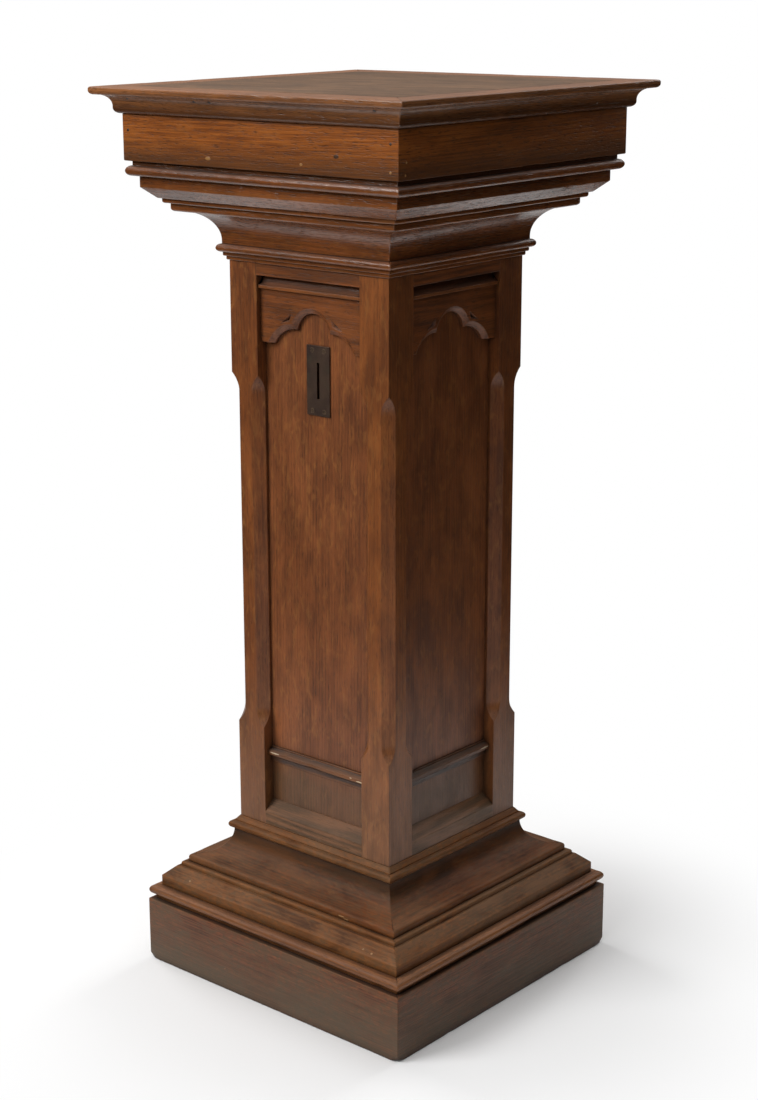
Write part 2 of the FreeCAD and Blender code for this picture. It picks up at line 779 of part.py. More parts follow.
def lock(closing_edge, inside, outside, level):
    """Box lock on the inside of the door with its sliding bolt, escutcheon and keeper."""
    end = closing_edge - lock_setback
    start = end - lock_width
    back = inside - lock_depth
    high = level + lock_height / 2
    low = level - lock_height / 2
    case = box((start, end), (back, inside), (low, high))
    hollow_x = (start + lock_wall, end - lock_wall)
    hollow_y = (back + lock_wall, inside)
    case = case.cut(box(hollow_x, hollow_y, (low + lock_wall, high - lock_wall)))
    bolt_y = (back + lock_wall + bolt_play, back + lock_wall + bolt_play + bolt_thickness)
    bolt_half = bolt_height / 2
    way = bolt_half + bolt_play
    case = case.cut(box((end - lock_wall, end), (bolt_y[0] - bolt_play, bolt_y[1] + bolt_play),
                        (level - way, level + way)))
    for rib in ((level + way, level + way + bolt_rib), (level - way - bolt_rib, level - way)):
        case = case.fuse(box(hollow_x, (hollow_y[0], bolt_y[1]), rib))
    tab_y = (inside - lock_wall, inside)
    for tab in ((high, high + lock_tab), (low - lock_tab, low)):
        case = case.fuse(box((start, end), tab_y, tab))
    middle = (start + end) / 2
    places = [
        (Vector(middle + across, inside - lock_wall, level + rise), Vector(0, 1, 0))
        for across in (-lock_screw_across / 2, lock_screw_across / 2)
        for rise in (-(lock_height + lock_tab) / 2, (lock_height + lock_tab) / 2)
    ]
    lock_screws, lock_holes = screws_at(places)
    save("lock_case", case.cut(lock_holes).removeSplitter())
    save("lock_bolt", box((end - bolt_length, end), bolt_y, (level - bolt_half, level + bolt_half)))

    key_z = level - keyhole_drop
    plate_y = (outside, outside + escutcheon_thickness)
    half_width = escutcheon_width / 2
    half_straight = escutcheon_height / 2 - half_width
    plate = box((middle - half_width, middle + half_width), plate_y,
                (key_z - half_straight, key_z + half_straight))
    nails, nail_holes = [], []
    for way_up in (-1, 1):
        centre = Vector(middle, outside, key_z + way_up * half_straight)
        plate = plate.fuse(Part.makeCylinder(half_width, escutcheon_thickness, centre, Vector(0, 1, 0)))
        nail = Vector(middle, plate_y[1], key_z + way_up * pin_apart / 2)
        inward = Vector(0, -1, 0)
        shank = Part.makeCylinder(nail_shank, nail_length, nail, inward)
        dome = Part.makeSphere(nail_head, nail, Vector(0, 1, 0), 0, 90, 360)
        nails.append(shank.fuse(dome).removeSplitter())
        nail_holes.append(Part.makeCylinder(nail_shank + screw_play, nail_length, nail, inward))
    nail_holes = Part.makeCompound(nail_holes)
    plate = plate.cut(keyhole(middle, key_z, plate_y)).cut(nail_holes).removeSplitter()
    save("escutcheon", plate)
    stile_tool = Part.makeCompound([keyhole(middle, key_z, (inside, outside)), nail_holes, lock_holes])

    reveal = opening / 2
    bolt_middle = (bolt_y[0] + bolt_y[1]) / 2
    keeper_y = (bolt_middle - keeper_width / 2, bolt_middle + keeper_width / 2)
    keeper_z = (level - keeper_height / 2, level + keeper_height / 2)
    keeper = box((reveal, reveal + keeper_thickness), keeper_y, keeper_z)
    mortise = box(
        (reveal, end + bolt_throw + keeper_play),
        (bolt_y[0] - keeper_play, bolt_y[1] + keeper_play),
        (level - bolt_half - keeper_play, level + bolt_half + keeper_play))
    places = [
        (Vector(reveal, bolt_middle, level + rise), Vector(1, 0, 0))
        for rise in (-keeper_screw_apart / 2, keeper_screw_apart / 2)
    ]
    keeper_screws, keeper_holes = screws_at(places)
    save("keeper_plate", keeper.cut(mortise).cut(keeper_holes))
    post_tool = Part.makeCompound([keeper, mortise, keeper_holes])
    return lock_screws + nails, stile_tool, keeper_screws, post_tool


def door():
    """Framed door flush with the back of the shaft, with hinges and lock; returns the posts' cuts."""
    hinge_edge = -opening / 2 + door_gap
    closing_edge = opening / 2 - door_lock_gap
    outside = half
    inside = half - door_thickness
    y = (inside, outside)
    low = sill + door_gap
    high = lintel - door_gap
    levels = (low + hinge_inset, high - hinge_inset)
    post_screws, left_tools, hinge_screws, hinge_tools = hinges(hinge_edge, levels, outside)
    lock_fixings, lock_tool, keeper_screws, right_tool = lock(
        closing_edge, inside, outside, (low + high) / 2)
    save("post_screws", post_screws + keeper_screws)
    save("door_screws", hinge_screws + lock_fixings)

    panel_y = (outside - door_panel_recess - door_panel_thickness, outside - door_panel_recess)
    left = hinge_edge + door_stile
    right = closing_edge - door_stile
    groove_z = (low, high)
    hinge_stile = box((hinge_edge, left), y, (low, high))
    hinge_stile = hinge_stile.cut(box((left - groove_depth, left), panel_y, groove_z))
    save("door_hinge_stile", hinge_stile.cut(Part.makeCompound(hinge_tools)))
    lock_stile = box((right, closing_edge), y, (low, high))
    lock_stile = lock_stile.cut(box((right, right + groove_depth), panel_y, groove_z))
    save("door_lock_stile", lock_stile.cut(lock_tool))

    tongue_x = (left - groove_depth + wood_fit, right + groove_depth - wood_fit)
    tenon_y = (panel_y[0] + wood_fit, panel_y[1] - wood_fit)
    for name, z, groove in (
        ("door_bottom_rail", (low, low + door_rail), (low + door_rail - groove_depth, low + door_rail)),
        ("door_top_rail", (high - door_rail, high), (high - door_rail, high - door_rail + groove_depth)),
    ):
        rail = box((left, right), y, z).fuse(box(tongue_x, tenon_y, z)).removeSplitter()
        save(name, rail.cut(box(tongue_x, panel_y, groove)))
    panel_z = (low + door_rail - groove_depth, high - door_rail + groove_depth - wood_fit)
    save("door_panel", box(tongue_x, tenon_y, panel_z))
    return {"left": Part.makeCompound(left_tools), "right": right_tool}


os.makedirs("parts", exist_ok=True)
plinth()
nosing("base_nosing", "base_deck", deck_top, -1)
step_moulding("base_step", base_step_top, -1)
cove_moulding("base_cavetto", base_cove_top, -1, 0)
foot_bead()
posts(door())
rails()
panels()
spandrels()
bars()
money_floor()
neck_bead()
cove_moulding("capital_cove", neck_top, 1, cove_foot)
step_moulding("capital_step", cove_top, 1)
nosing("capital_nosing", "crown_board", crown_bottom, 1)
frieze()
cornice()
print("overall", 2 * (half + cornice_out), "wide and", top, "high")
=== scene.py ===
# %% [markdown]
# # An oak donation box
# The real thing is a church furnishing: a moulded base, a panelled shaft with a coin slot, and a spreading
# capital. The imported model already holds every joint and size. It could be painted as it is, but its edges
# are razor sharp, and old oak is not. So this lesson draws the mouldings, bars and top again with softened,
# dented edges, inside the same sizes, and gives every piece the wood or metal that it is made of.

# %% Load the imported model
import bmesh
import bpy
import numpy as np
from mathutils import Euler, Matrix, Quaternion, Vector


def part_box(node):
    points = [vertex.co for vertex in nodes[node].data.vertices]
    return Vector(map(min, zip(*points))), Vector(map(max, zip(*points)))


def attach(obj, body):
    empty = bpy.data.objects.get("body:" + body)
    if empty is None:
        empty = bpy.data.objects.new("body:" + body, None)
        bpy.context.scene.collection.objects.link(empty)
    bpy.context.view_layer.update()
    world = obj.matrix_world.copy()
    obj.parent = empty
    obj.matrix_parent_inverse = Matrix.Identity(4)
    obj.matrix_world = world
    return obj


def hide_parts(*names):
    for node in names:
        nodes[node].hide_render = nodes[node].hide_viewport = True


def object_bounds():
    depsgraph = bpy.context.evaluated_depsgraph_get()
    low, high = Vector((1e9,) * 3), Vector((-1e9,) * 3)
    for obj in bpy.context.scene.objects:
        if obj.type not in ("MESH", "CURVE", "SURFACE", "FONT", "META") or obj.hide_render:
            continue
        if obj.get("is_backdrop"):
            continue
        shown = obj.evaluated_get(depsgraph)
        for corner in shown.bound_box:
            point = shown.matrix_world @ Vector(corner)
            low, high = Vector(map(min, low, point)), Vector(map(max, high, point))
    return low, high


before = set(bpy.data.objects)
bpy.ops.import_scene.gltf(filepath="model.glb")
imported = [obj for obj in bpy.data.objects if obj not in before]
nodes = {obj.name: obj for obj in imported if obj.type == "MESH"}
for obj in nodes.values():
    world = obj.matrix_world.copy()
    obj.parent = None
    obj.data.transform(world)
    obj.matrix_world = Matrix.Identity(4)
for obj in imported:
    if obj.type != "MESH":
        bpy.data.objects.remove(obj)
cad_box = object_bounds()

# %% [markdown]
# ## Rounded sections
# A moulding is planed to a section and cut to length. It could be modelled as a box with bevelled loops,
# but a joiner thinks of it as a section on paper, so it is drawn that way and carried along the board.
# Sections are in millimetres, as (distance out from the shaft's face, height).

# %% Curves of a section
SHAFT_HALF = 134.0
MM = 0.001


def arc(centre, radius, start, stop, count):
    """Points on a circle: the centre plus radius times (cosine, sine), between two angles in degrees."""
    angle = np.radians(np.linspace(start, stop, count))
    return np.array(centre) + radius * np.column_stack([np.cos(angle), np.sin(angle)])


print("a quarter round of 38 mm has", len(arc((0, 0), 38, 180, 90, 24)), "points")

# %% [markdown]
# A plane leaves crisp edges, and a century of dusters rounds them. A Bevel modifier could do that, but then
# the points would not be known here, where the wear has to be placed. So each corner of the section becomes
# a short curve.

# %% Rounded corners
SHARP_CORNER = np.radians(25)


def soften(section, radius, count=5):
    """Round each sharp corner: a parabola from one edge to the next, with the corner as its pole."""
    back = np.roll(section, 1, axis=0) - section
    ahead = np.roll(section, -1, axis=0) - section
    back_length = np.linalg.norm(back, axis=1)
    ahead_length = np.linalg.norm(ahead, axis=1)
    cosine = -(back * ahead).sum(1) / (back_length * ahead_length)
    turn = np.arccos(np.clip(cosine, -1, 1))
    reach = np.minimum(radius * np.tan(turn / 2), 0.4 * np.minimum(back_length, ahead_length))
    reach = np.where(turn > SHARP_CORNER, reach, 0)
    first = section + back * (reach / back_length)[:, None]
    last = section + ahead * (reach / ahead_length)[:, None]
    t = np.linspace(0, 1, count)[None, :, None]
    curve = (1 - t) ** 2 * first[:, None] + 2 * t * (1 - t) * section[:, None] + t ** 2 * last[:, None]
    points = curve.reshape(-1, 2)
    keep = np.linalg.norm(points - np.roll(points, 1, axis=0), axis=1) > 1e-6
    return points[keep]


square = np.array([[0.0, 0.0], [10.0, 0.0], [10.0, 10.0], [0.0, 10.0]])
print("a square with rounded corners has", len(soften(square, 0.9)), "points")

# %% Points on long runs


def spaced(section, step):
    """Add points on long straight runs, so that no gap is much over the step. Corners keep their place."""
    closed = np.vstack([section, section[:1]])
    mark = np.concatenate([[0], np.cumsum(np.linalg.norm(np.diff(closed, axis=0), axis=1))])
    extra = np.arange(0, mark[-1], step)
    extra = extra[np.abs(extra[:, None] - mark).min(1) > 0.4 * step]
    at = np.sort(np.concatenate([mark[:-1], extra]))
    return np.column_stack([np.interp(at, mark, closed[:, k]) for k in (0, 1)])


print("a square with a point every 2 mm has", len(spaced(square, 2.0)), "points")

# %% [markdown]
# ## Where hands and dusters rub
# Wear shows on the arrises, the outward corners of a section. It could be painted by hand or found by the
# shader, but the section already knows how sharply it turns at each point. So the turn is measured once per
# section, and it fades over a millimetre or two beside each arris.

# %% Arrises of a section


def section_facts(section):
    """Outward normals, and how convex each point is: its turn over the length beside it, in rad per mm."""
    ahead = np.roll(section, -1, axis=0) - section
    back = section - np.roll(section, 1, axis=0)
    ahead_length = np.linalg.norm(ahead, axis=1)
    back_length = np.linalg.norm(back, axis=1)
    along = ahead / ahead_length[:, None] + back / back_length[:, None]
    normal = np.column_stack([along[:, 1], -along[:, 0]])
    normal /= np.linalg.norm(normal, axis=1)[:, None]
    turn = np.arctan2(back[:, 0] * ahead[:, 1] - back[:, 1] * ahead[:, 0], (back * ahead).sum(1))
    return normal, turn * 2 / (ahead_length + back_length)


def spread(section, amount, width):
    """Let a value fade beside the points that have it: the largest of value times a bell curve."""
    gap = np.linalg.norm(section[:, None] - section[None], axis=2)
    return (amount[None] * np.exp(-(gap / width) ** 2)).max(1)


print("a square's corners turn by", section_facts(square)[1].round(2), "radians per mm")

# %% [markdown]
# ## Dents
# Old edges dip where something knocked them. A displacement texture could do it, but it would push wood out
# as well as in. So a smooth random ripple, a sum of sine waves in random directions, only ever takes wood
# away, and a worn piece stays inside its solid.

# %% Ripples
draw = np.random.default_rng(1887)


def ripple(u, v, shortest, longest, waves=24):
    """Between 0 and 1: waves of random direction and length added up, then squeezed by a tanh."""
    length = np.exp(draw.uniform(np.log(shortest), np.log(longest), waves))
    angle = draw.uniform(0, np.pi, waves)
    phase = draw.uniform(0, 2 * np.pi, waves)
    total = np.zeros(np.broadcast(u, v).shape)
    for k in range(waves):
        total += np.sin(2 * np.pi * (u * np.cos(angle[k]) + v * np.sin(angle[k])) / length[k] + phase[k])
    return 0.5 + 0.5 * np.tanh(total / np.sqrt(waves))


print("a ripple runs from", *ripple(np.arange(500.0), 0.0, 5, 40)[[0, 100, 200]].round(2))

# %% [markdown]
# ## From points to a piece
# A strip of moulding is a closed tube: rings of points, one behind the other, with a cap on each end.
# Blender could sweep a curve instead, but then the points could not be dented one by one.

# %% Faces of a tube


def tube(rows, columns, first):
    """Faces of a closed tube: quads between neighbours, last column joined to the first, both ends capped."""
    index = first + np.arange(rows * columns).reshape(rows, columns)
    beside = np.roll(index, -1, axis=1)
    quads = np.stack([index[:-1], beside[:-1], beside[1:], index[1:]], -1).reshape(-1, 4)
    return quads.tolist() + [index[0, ::-1].tolist(), index[-1].tolist()]


print("a tube of 3 rings of 4 has", len(tube(3, 4, 0)), "faces")

# %% [markdown]
# The points become a mesh with two attributes of its own: "grain", the place of each point in the plank
# that it was cut from, and "wear", how much it is rubbed. Faces have to point outwards, so they are turned
# round if the signed volume is negative.

# %% Meshes


def outward(mesh):
    """Turn the faces round if the volume they enclose comes out negative; give its size in cubic metres."""
    work = bmesh.new()
    work.from_mesh(mesh)
    volume = work.calc_volume(signed=True)
    if volume < 0:
        bmesh.ops.reverse_faces(work, faces=work.faces)
        work.to_mesh(mesh)
    work.free()
    return abs(volume)


def add_piece(name, points, faces, grain, wear, material, replaced):
    """Put a computed surface into the scene, in metres, riding with the carcass."""
    mesh = bpy.data.meshes.new(name)
    mesh.from_pydata((points * MM).tolist(), [], faces)
    mesh.attributes.new("grain", "FLOAT_VECTOR", "POINT").data.foreach_set("vector", (grain * MM).ravel())
    mesh.attributes.new("wear", "FLOAT", "POINT").data.foreach_set("value", wear.ravel())
    volume = outward(mesh)
    mesh.polygons.foreach_set("use_smooth", np.ones(len(mesh.polygons), bool))
    mesh.materials.append(material)
    piece = bpy.data.objects.new(name, mesh)
    bpy.context.scene.collection.objects.link(piece)
    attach(piece, "carcass")
    if replaced:
        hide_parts(*replaced)
    print(name, len(points), "points,", round(volume * 1e6), "cubic cm")


print("pieces carry grain and wear")

# %% [markdown]
# ## Strips mitred round a square
# Base, capital and cornice are strips mitred at the four corners. One ring round the square would be
# quicker, but its grain would bend at the corners, so each side is its own strip. A mitre makes a strip as
# long as it is far out: a point of the section that is r from the middle runs from -r to r. The last
# millimetre at each end is rounded in, which draws the mitre as the fine dark line that such joints show.

# %% Rings along a strip
SIDES = {"front": (1, 0), "right": (0, 1), "rear": (-1, 0), "left": (0, -1)}
MITRE_GAP = 0.25
END_ROUND = 0.8
STATION = 4.0


def rings_along(half):
    """Places of the rings on each line of the section, and how far each is drawn in. A ring nearer the end
    than the rounding radius is drawn in by that radius less the height of its circle."""
    # Rings crowd near the end, where the rounding is.
    ring = np.concatenate([END_ROUND * np.array([0, 0.08, 0.3, 0.6, 1]), [2.5]])
    inner = np.linspace(-1, 1, int(2 * half.max() / STATION))
    along = np.concatenate([
        -half[None] + ring[:, None],
        inner[1:-1, None] * (half - STATION)[None],
        half[None] - ring[::-1, None]])
    inset = END_ROUND - np.sqrt(END_ROUND ** 2 - np.clip(END_ROUND - ring, 0, None) ** 2)
    return along, np.concatenate([inset, np.zeros(len(inner) - 2), inset[::-1]])[:, None]


print("a strip of 200 mm has", len(rings_along(np.array([100.0]))[0]), "rings")

# %% [markdown]
# Each strip was sawn from its own plank, so its grain gets a random place in a tree: how far from the heart
# it lay, and a slight slope, because no plank is cut quite along the trunk.

# %% One strip
KNOCK_DEPTH, KNOCK_WAVES = 0.8, (22, 160)
HOLLOW_DEPTH, HOLLOW_WAVES = 0.08, (80, 400)
# A high power of a ripple leaves only its peaks, because knocks are rare.
RARE = 9
HEART_NEAR, HEART_FAR, PLANK_SHIFT = 60.0, 150.0, 3000
GRAIN_SLOPE = 0.02
ARRIS_TURN, ARRIS_WIDTH = 0.4, 1.6


def strip(section, ends, side, dent):
    """Section carried along one side, less its dents: narrow knocks on the arrises and shallow hollows
    everywhere, each a depth times a ripple, taken off along the normal."""
    normal, convex = section_facts(section)
    wear = spread(section, np.clip(convex / ARRIS_TURN, 0, 1), ARRIS_WIDTH)
    along, inset = rings_along(ends(section[:, 0]))
    height = section[:, 1][None]
    knocks = ripple(along, 2 * height, *KNOCK_WAVES) ** RARE
    hollows = ripple(along, 2 * height, *HOLLOW_WAVES)
    worn = inset + dent * (KNOCK_DEPTH * wear[None] * knocks + HOLLOW_DEPTH * hollows)
    out = section[:, 0][None] - normal[:, 0][None] * worn
    up = height - normal[:, 1][None] * worn
    c, s = SIDES[side]
    points = np.stack([c * along + s * out, s * along - c * out, up], -1)
    turn, reach = draw.uniform(0, 2 * np.pi), draw.uniform(HEART_NEAR, HEART_FAR)
    slope = draw.uniform(-GRAIN_SLOPE, GRAIN_SLOPE, 2)
    grain = np.stack([
        along + draw.uniform(-PLANK_SHIFT, PLANK_SHIFT),
        out - section[:, 0].mean() + reach * np.cos(turn) + slope[0] * along,
        up - section[:, 1].mean() + reach * np.sin(turn) + slope[1] * along], -1)
    return points, grain, np.broadcast_to(wear[None], along.shape)


print("knocks are up to", KNOCK_DEPTH, "mm deep")

# %% Strips on several sides
ROUNDING, SECTION_STEP = 0.9, 6.0


def mitred(out):
    """Half length of a mitred strip: as far as it is out, less half the width of the joint."""
    return out - MITRE_GAP


def run(part, section, material, sides=SIDES, ends=mitred, dent=1.0, shape=None):
    """One piece made of strips on the given sides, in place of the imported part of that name."""
    section = spaced(soften(section + [SHAFT_HALF, 0], ROUNDING), SECTION_STEP)
    points, grain, wear, faces, count = [], [], [], [], 0
    for side in sides:
        p, g, w = strip(section, ends, side, dent)
        faces += tube(p.shape[0], p.shape[1], count)
        count += p.shape[0] * p.shape[1]
        points.append(p.reshape(-1, 3))
        grain.append(g.reshape(-1, 3))
        wear.append(w.reshape(-1))
    points = np.concatenate(points)
    if shape:
        points = shape(points)
    grain, wear = np.concatenate(grain), np.concatenate(wear)
    add_piece("oak_" + part, points, faces, grain, wear, material, [part])


print("strips go round", ", ".join(SIDES))

# %% [markdown]
# ## Colours and nodes
# Colours are written as sRGB hex codes, as a colour picker gives them, and turned to the linear values that
# shaders work in. A material is a tree of nodes. It could be clicked together in the editor, but here one
# small function that adds, sets and links a node keeps it readable.

# %% Colour


def linear(code):
    """sRGB hex code to linear: a straight line near black, a power of 2.4 above it."""
    value = np.array([int(code[k:k + 2], 16) for k in (1, 3, 5)]) / 255
    value = np.where(value <= 0.04045, value / 12.92, ((value + 0.055) / 1.055) ** 2.4)
    return (*value.tolist(), 1.0)


print("oak brown is", np.round(linear("#6f4329"), 3))

# %% Nodes
# Sockets are often given by number. Map Range: 0 value, 1 and 2 from, 3 and 4 to. Mix: 0 share, 2 and 3
# numbers, 6 and 7 colours. Math: 0, 1 and 2 in order, and it adds unless an operation is named.


def node(tree, kind, inputs=None, out=0, **settings):
    """Add one shader node, set its properties, fill or link its inputs, and return one output, if any."""
    new = tree.nodes.new("ShaderNode" + kind)
    for key, value in settings.items():
        setattr(new, key, value)
    for key, value in (inputs or {}).items():
        if isinstance(value, bpy.types.NodeSocket):
            tree.links.new(value, new.inputs[key])
        else:
            new.inputs[key].default_value = value
    return new.outputs[out] if new.outputs else None


def new_material(name):
    """Empty node material."""
    material = bpy.data.materials.new(name)
    material.use_nodes = True
    material.node_tree.nodes.clear()
    return material, material.node_tree


print("materials start empty")

# %% [markdown]
# ## The figure of oak
# A trunk grows in rings, and a board cuts through them: straight lines where the heart lies beside the
# board, pointed arches where it lies behind. A picture of oak could be wrapped round each piece, but it
# would not run through the wood. So the rings are drawn in space, as cylinders about the heart, and every
# cut shows its own figure. Real rings are 2 or 3 mm apart and fibres a few tenths of a mm thick; both are
# drawn coarser, so that they show.

# %% Rings, fibres, pores, flecks and clouds
RING = 5.0
# Each pattern is noise with a length and a thickness in mm, an amount of fine detail and a twist.
FIBRES = {
    "streaks": (110, 1.7, 3.0, 0.0),
    "pores": (11, 1.2, 1.0, 0.0),
    "flecks": (24, 8, 3.0, 1.0),
    "specks": (9, 4.5, 4.0, 0.6),
    "mottle": (75, 26, 3.0, 0.6),
    "clouds": (300, 120, 2.0, 0.5)}


def oak_figure(tree, fibre):
    """Noise stretched along the grain, plus rings about the x axis whose phase a noise disturbs."""
    seen = {}
    for part, (along, across, detail, twist) in FIBRES.items():
        size = (1000 / along, 1000 / across, 1000 / across)
        scaled = node(tree, "VectorMath", {0: fibre, 1: size}, operation="MULTIPLY")
        seen[part] = node(tree, "TexNoise", {
            "Vector": scaled, "Scale": 1.0, "Detail": detail, "Distortion": twist})
    # A trunk changes slowly along its length, so the rings see a tenth of the way along.
    slow = node(tree, "VectorMath", {0: fibre, 1: (0.1, 1, 1)}, operation="MULTIPLY")
    # The wave repeats every 2 pi / 20 of its scaled radius.
    seen["rings"] = node(tree, "TexWave", {
        "Vector": slow, "Scale": 2 * np.pi / 20 / (RING * MM), "Distortion": 9.0, "Detail": 2.0,
        "Detail Scale": 0.35}, out=1, wave_type="RINGS", rings_direction="X")
    return seen


print("patterns of oak:", ", ".join(FIBRES), "and rings")

# %% [markdown]
# ## Where a point lies in its plank
# The computed pieces carry their grain and wear as attributes. The boards that keep their solid have none,
# so there the grain is the object's own coordinates, turned and shifted, and the wear is where a Bevel node
# bends the normal: on the arrises.

# %% Grain and wear
ARRIS_RADIUS = 0.0012


def plank_place(tree, here, true_normal, place):
    """Place in the plank, normal to shade with, and how far a point is rubbed: from attributes, or from a
    turn and shift of the object's coordinates and the cosine between the bevelled and the true normal."""
    if place is None:
        fibre = node(tree, "Attribute", out="Vector", attribute_name="grain")
        return fibre, true_normal, node(tree, "Attribute", out="Fac", attribute_name="wear")
    fibre = node(tree, "Mapping", {"Vector": here, "Rotation": place[0], "Location": place[1]})
    normal = node(tree, "Bevel", {"Radius": ARRIS_RADIUS}, samples=4)
    bent = node(tree, "VectorMath", {0: normal, 1: true_normal}, out="Value", operation="DOT_PRODUCT")
    return fibre, normal, node(tree, "MapRange", {0: bent, 1: 0.99, 2: 0.85})


print("arrises are rounded by", ARRIS_RADIUS / MM, "mm")

# %% [markdown]
# ## Old waxed oak
# The wood is oak, planed, stained brown and waxed, then handled and dusted for a hundred years. That gives
# the eye a satin brown with fine streaks along the board, rubbed lighter arrises that also carry a painted
# highlight, dark corners of dirt and painted shade, and grey dust on what faces up. One brown with some noise
# would look like plastic, so the colour is built as it came about: bare wood first, then what a century left
# on it, each layer mixed over the last, with painted shade in the corners as the last layer.

# %% Bare wood
RAY_PALE, PORE_DARK = "#9c6634", "#27150a"


def bare_wood(tree, seen, light, rings, flecks, smooth, patchy):
    """Layers of colour over the darkest tone: streaks and rings, pale rays, dark pores, cloudy stain.
    Smooth is how far broad mottling takes the place of fine streaks."""
    mixed = node(tree, "Mix", {0: smooth, 2: seen["streaks"], 3: seen["mottle"]})
    mixed = node(tree, "Math", {0: seen["rings"], 1: rings, 2: mixed}, operation="MULTIPLY_ADD")
    # Noise stays near one half, so a narrow band about it is stretched to the full range.
    tone = node(tree, "MapRange", {0: mixed, 1: 0.36 + rings / 2, 2: 0.64 + rings / 2})
    rays = node(tree, "MapRange", {0: seen["flecks"], 1: 0.52, 2: 0.72, 4: flecks})
    pores = node(tree, "MapRange", {0: seen["pores"], 1: 0.56, 2: 0.72, 4: 0.8 - 0.6 * smooth})
    stain = node(tree, "MapRange", {0: seen["clouds"], 1: 0.3, 2: 0.7, 3: 1 - patchy, 4: 1 + patchy})
    shade = node(tree, "CombineColor", {0: stain, 1: stain, 2: stain})
    layers = [
        (tone, linear(light), "MIX"), (rays, linear(RAY_PALE), "MIX"), (pores, linear(PORE_DARK), "MIX"),
        (1.0, shade, "MULTIPLY")]
    return layers, tone, pores, stain


print("rays are", RAY_PALE, "and pores", PORE_DARK)

# %% [markdown]
# Hands rub the arrises bare, and that pale colour also paints a highlight on them, most on the base. Polish
# dries to a dull brown bloom in blots, dust settles on what faces up, soil gathers towards the floor, and
# some pieces are darker under a ledge. The corners are darkened with dirt that no duster reaches and with
# painted shade. Ambient occlusion, how much a point is closed in, finds those corners.

# %% A century of use, and painted shade in the corners
# The rubbed colour also paints a highlight on the arrises; the corner colour is dirt and painted shade.
RUBBED_AND_HIGHLIGHT, BLOOM, DUST, CORNER_DIRT_AND_SHADE = "#92592b", "#4a3e2c", "#8c8074", "#150b05"
CORNER_REACH = 0.014


def use_dirt_and_shade(tree, seen, here, rubbed, facing, stain, rub_and_highlight, bloom, dust, soil):
    """Layers of colour over the bare wood, each with its own amount: rubbed arrises that also paint a
    highlight, bloom, dust, soil, and corners darkened by dirt and painted shade. Soil is (clean height, dirty
    height, amount, colour): a darker colour, mostly dirt, that thickens from the first height to the second."""
    # Pale rubbed arrises: real wear, and a painted highlight along them.
    worn = node(tree, "Math", {0: rubbed, 1: seen["clouds"]}, operation="MULTIPLY")
    worn = node(tree, "MapRange", {0: worn, 1: 0.15, 2: 0.7, 4: rub_and_highlight})
    blots = node(tree, "Mix", {0: 0.5, 2: seen["mottle"], 3: seen["specks"]})
    blots = node(tree, "Mix", {0: 0.4, 2: blots, 3: seen["clouds"]})
    dull = node(tree, "MapRange", {0: blots, 1: 0.45, 2: 0.56, 4: bloom})
    settled = node(tree, "MapRange", {0: facing, 1: 0.1, 2: 0.9, 3: 0.1 * dust, 4: dust})
    film = node(tree, "Math", {0: settled, 1: stain}, operation="MULTIPLY")
    layers = [(worn, linear(RUBBED_AND_HIGHLIGHT), "MIX"), (dull, linear(BLOOM), "MIX"), (film, linear(DUST), "MIX")]
    if soil:
        level = node(tree, "SeparateXYZ", {0: here}, out=2)
        dirt = node(tree, "MapRange", {0: level, 1: soil[0], 2: soil[1], 4: soil[2]})
        dirt = node(tree, "Math", {0: dirt, 1: stain}, operation="MULTIPLY")
        layers.append((dirt, linear(soil[3]), "MIX"))
    # Painted shade, with some dirt: the colour darkens where ambient occlusion finds a point closed in.
    air = node(tree, "AmbientOcclusion", {"Distance": CORNER_REACH}, out="AO", samples=6)
    corner = node(tree, "MapRange", {0: air, 1: 0.85, 2: 0.2, 4: 0.92})
    return layers + [(corner, linear(CORNER_DIRT_AND_SHADE), "MIX")]


print("corner dirt reaches", CORNER_REACH / MM, "mm")

# %% [markdown]
# Wax gives a satin gloss, a little glossier on the pale, dense wood than in the dark, open grain. Dust
# makes what faces up matt. Pores are small pits, so the bump goes down where they are.

# %% Oak
PORE_PIT, GRAIN_RELIEF = -1.5, 0.0005


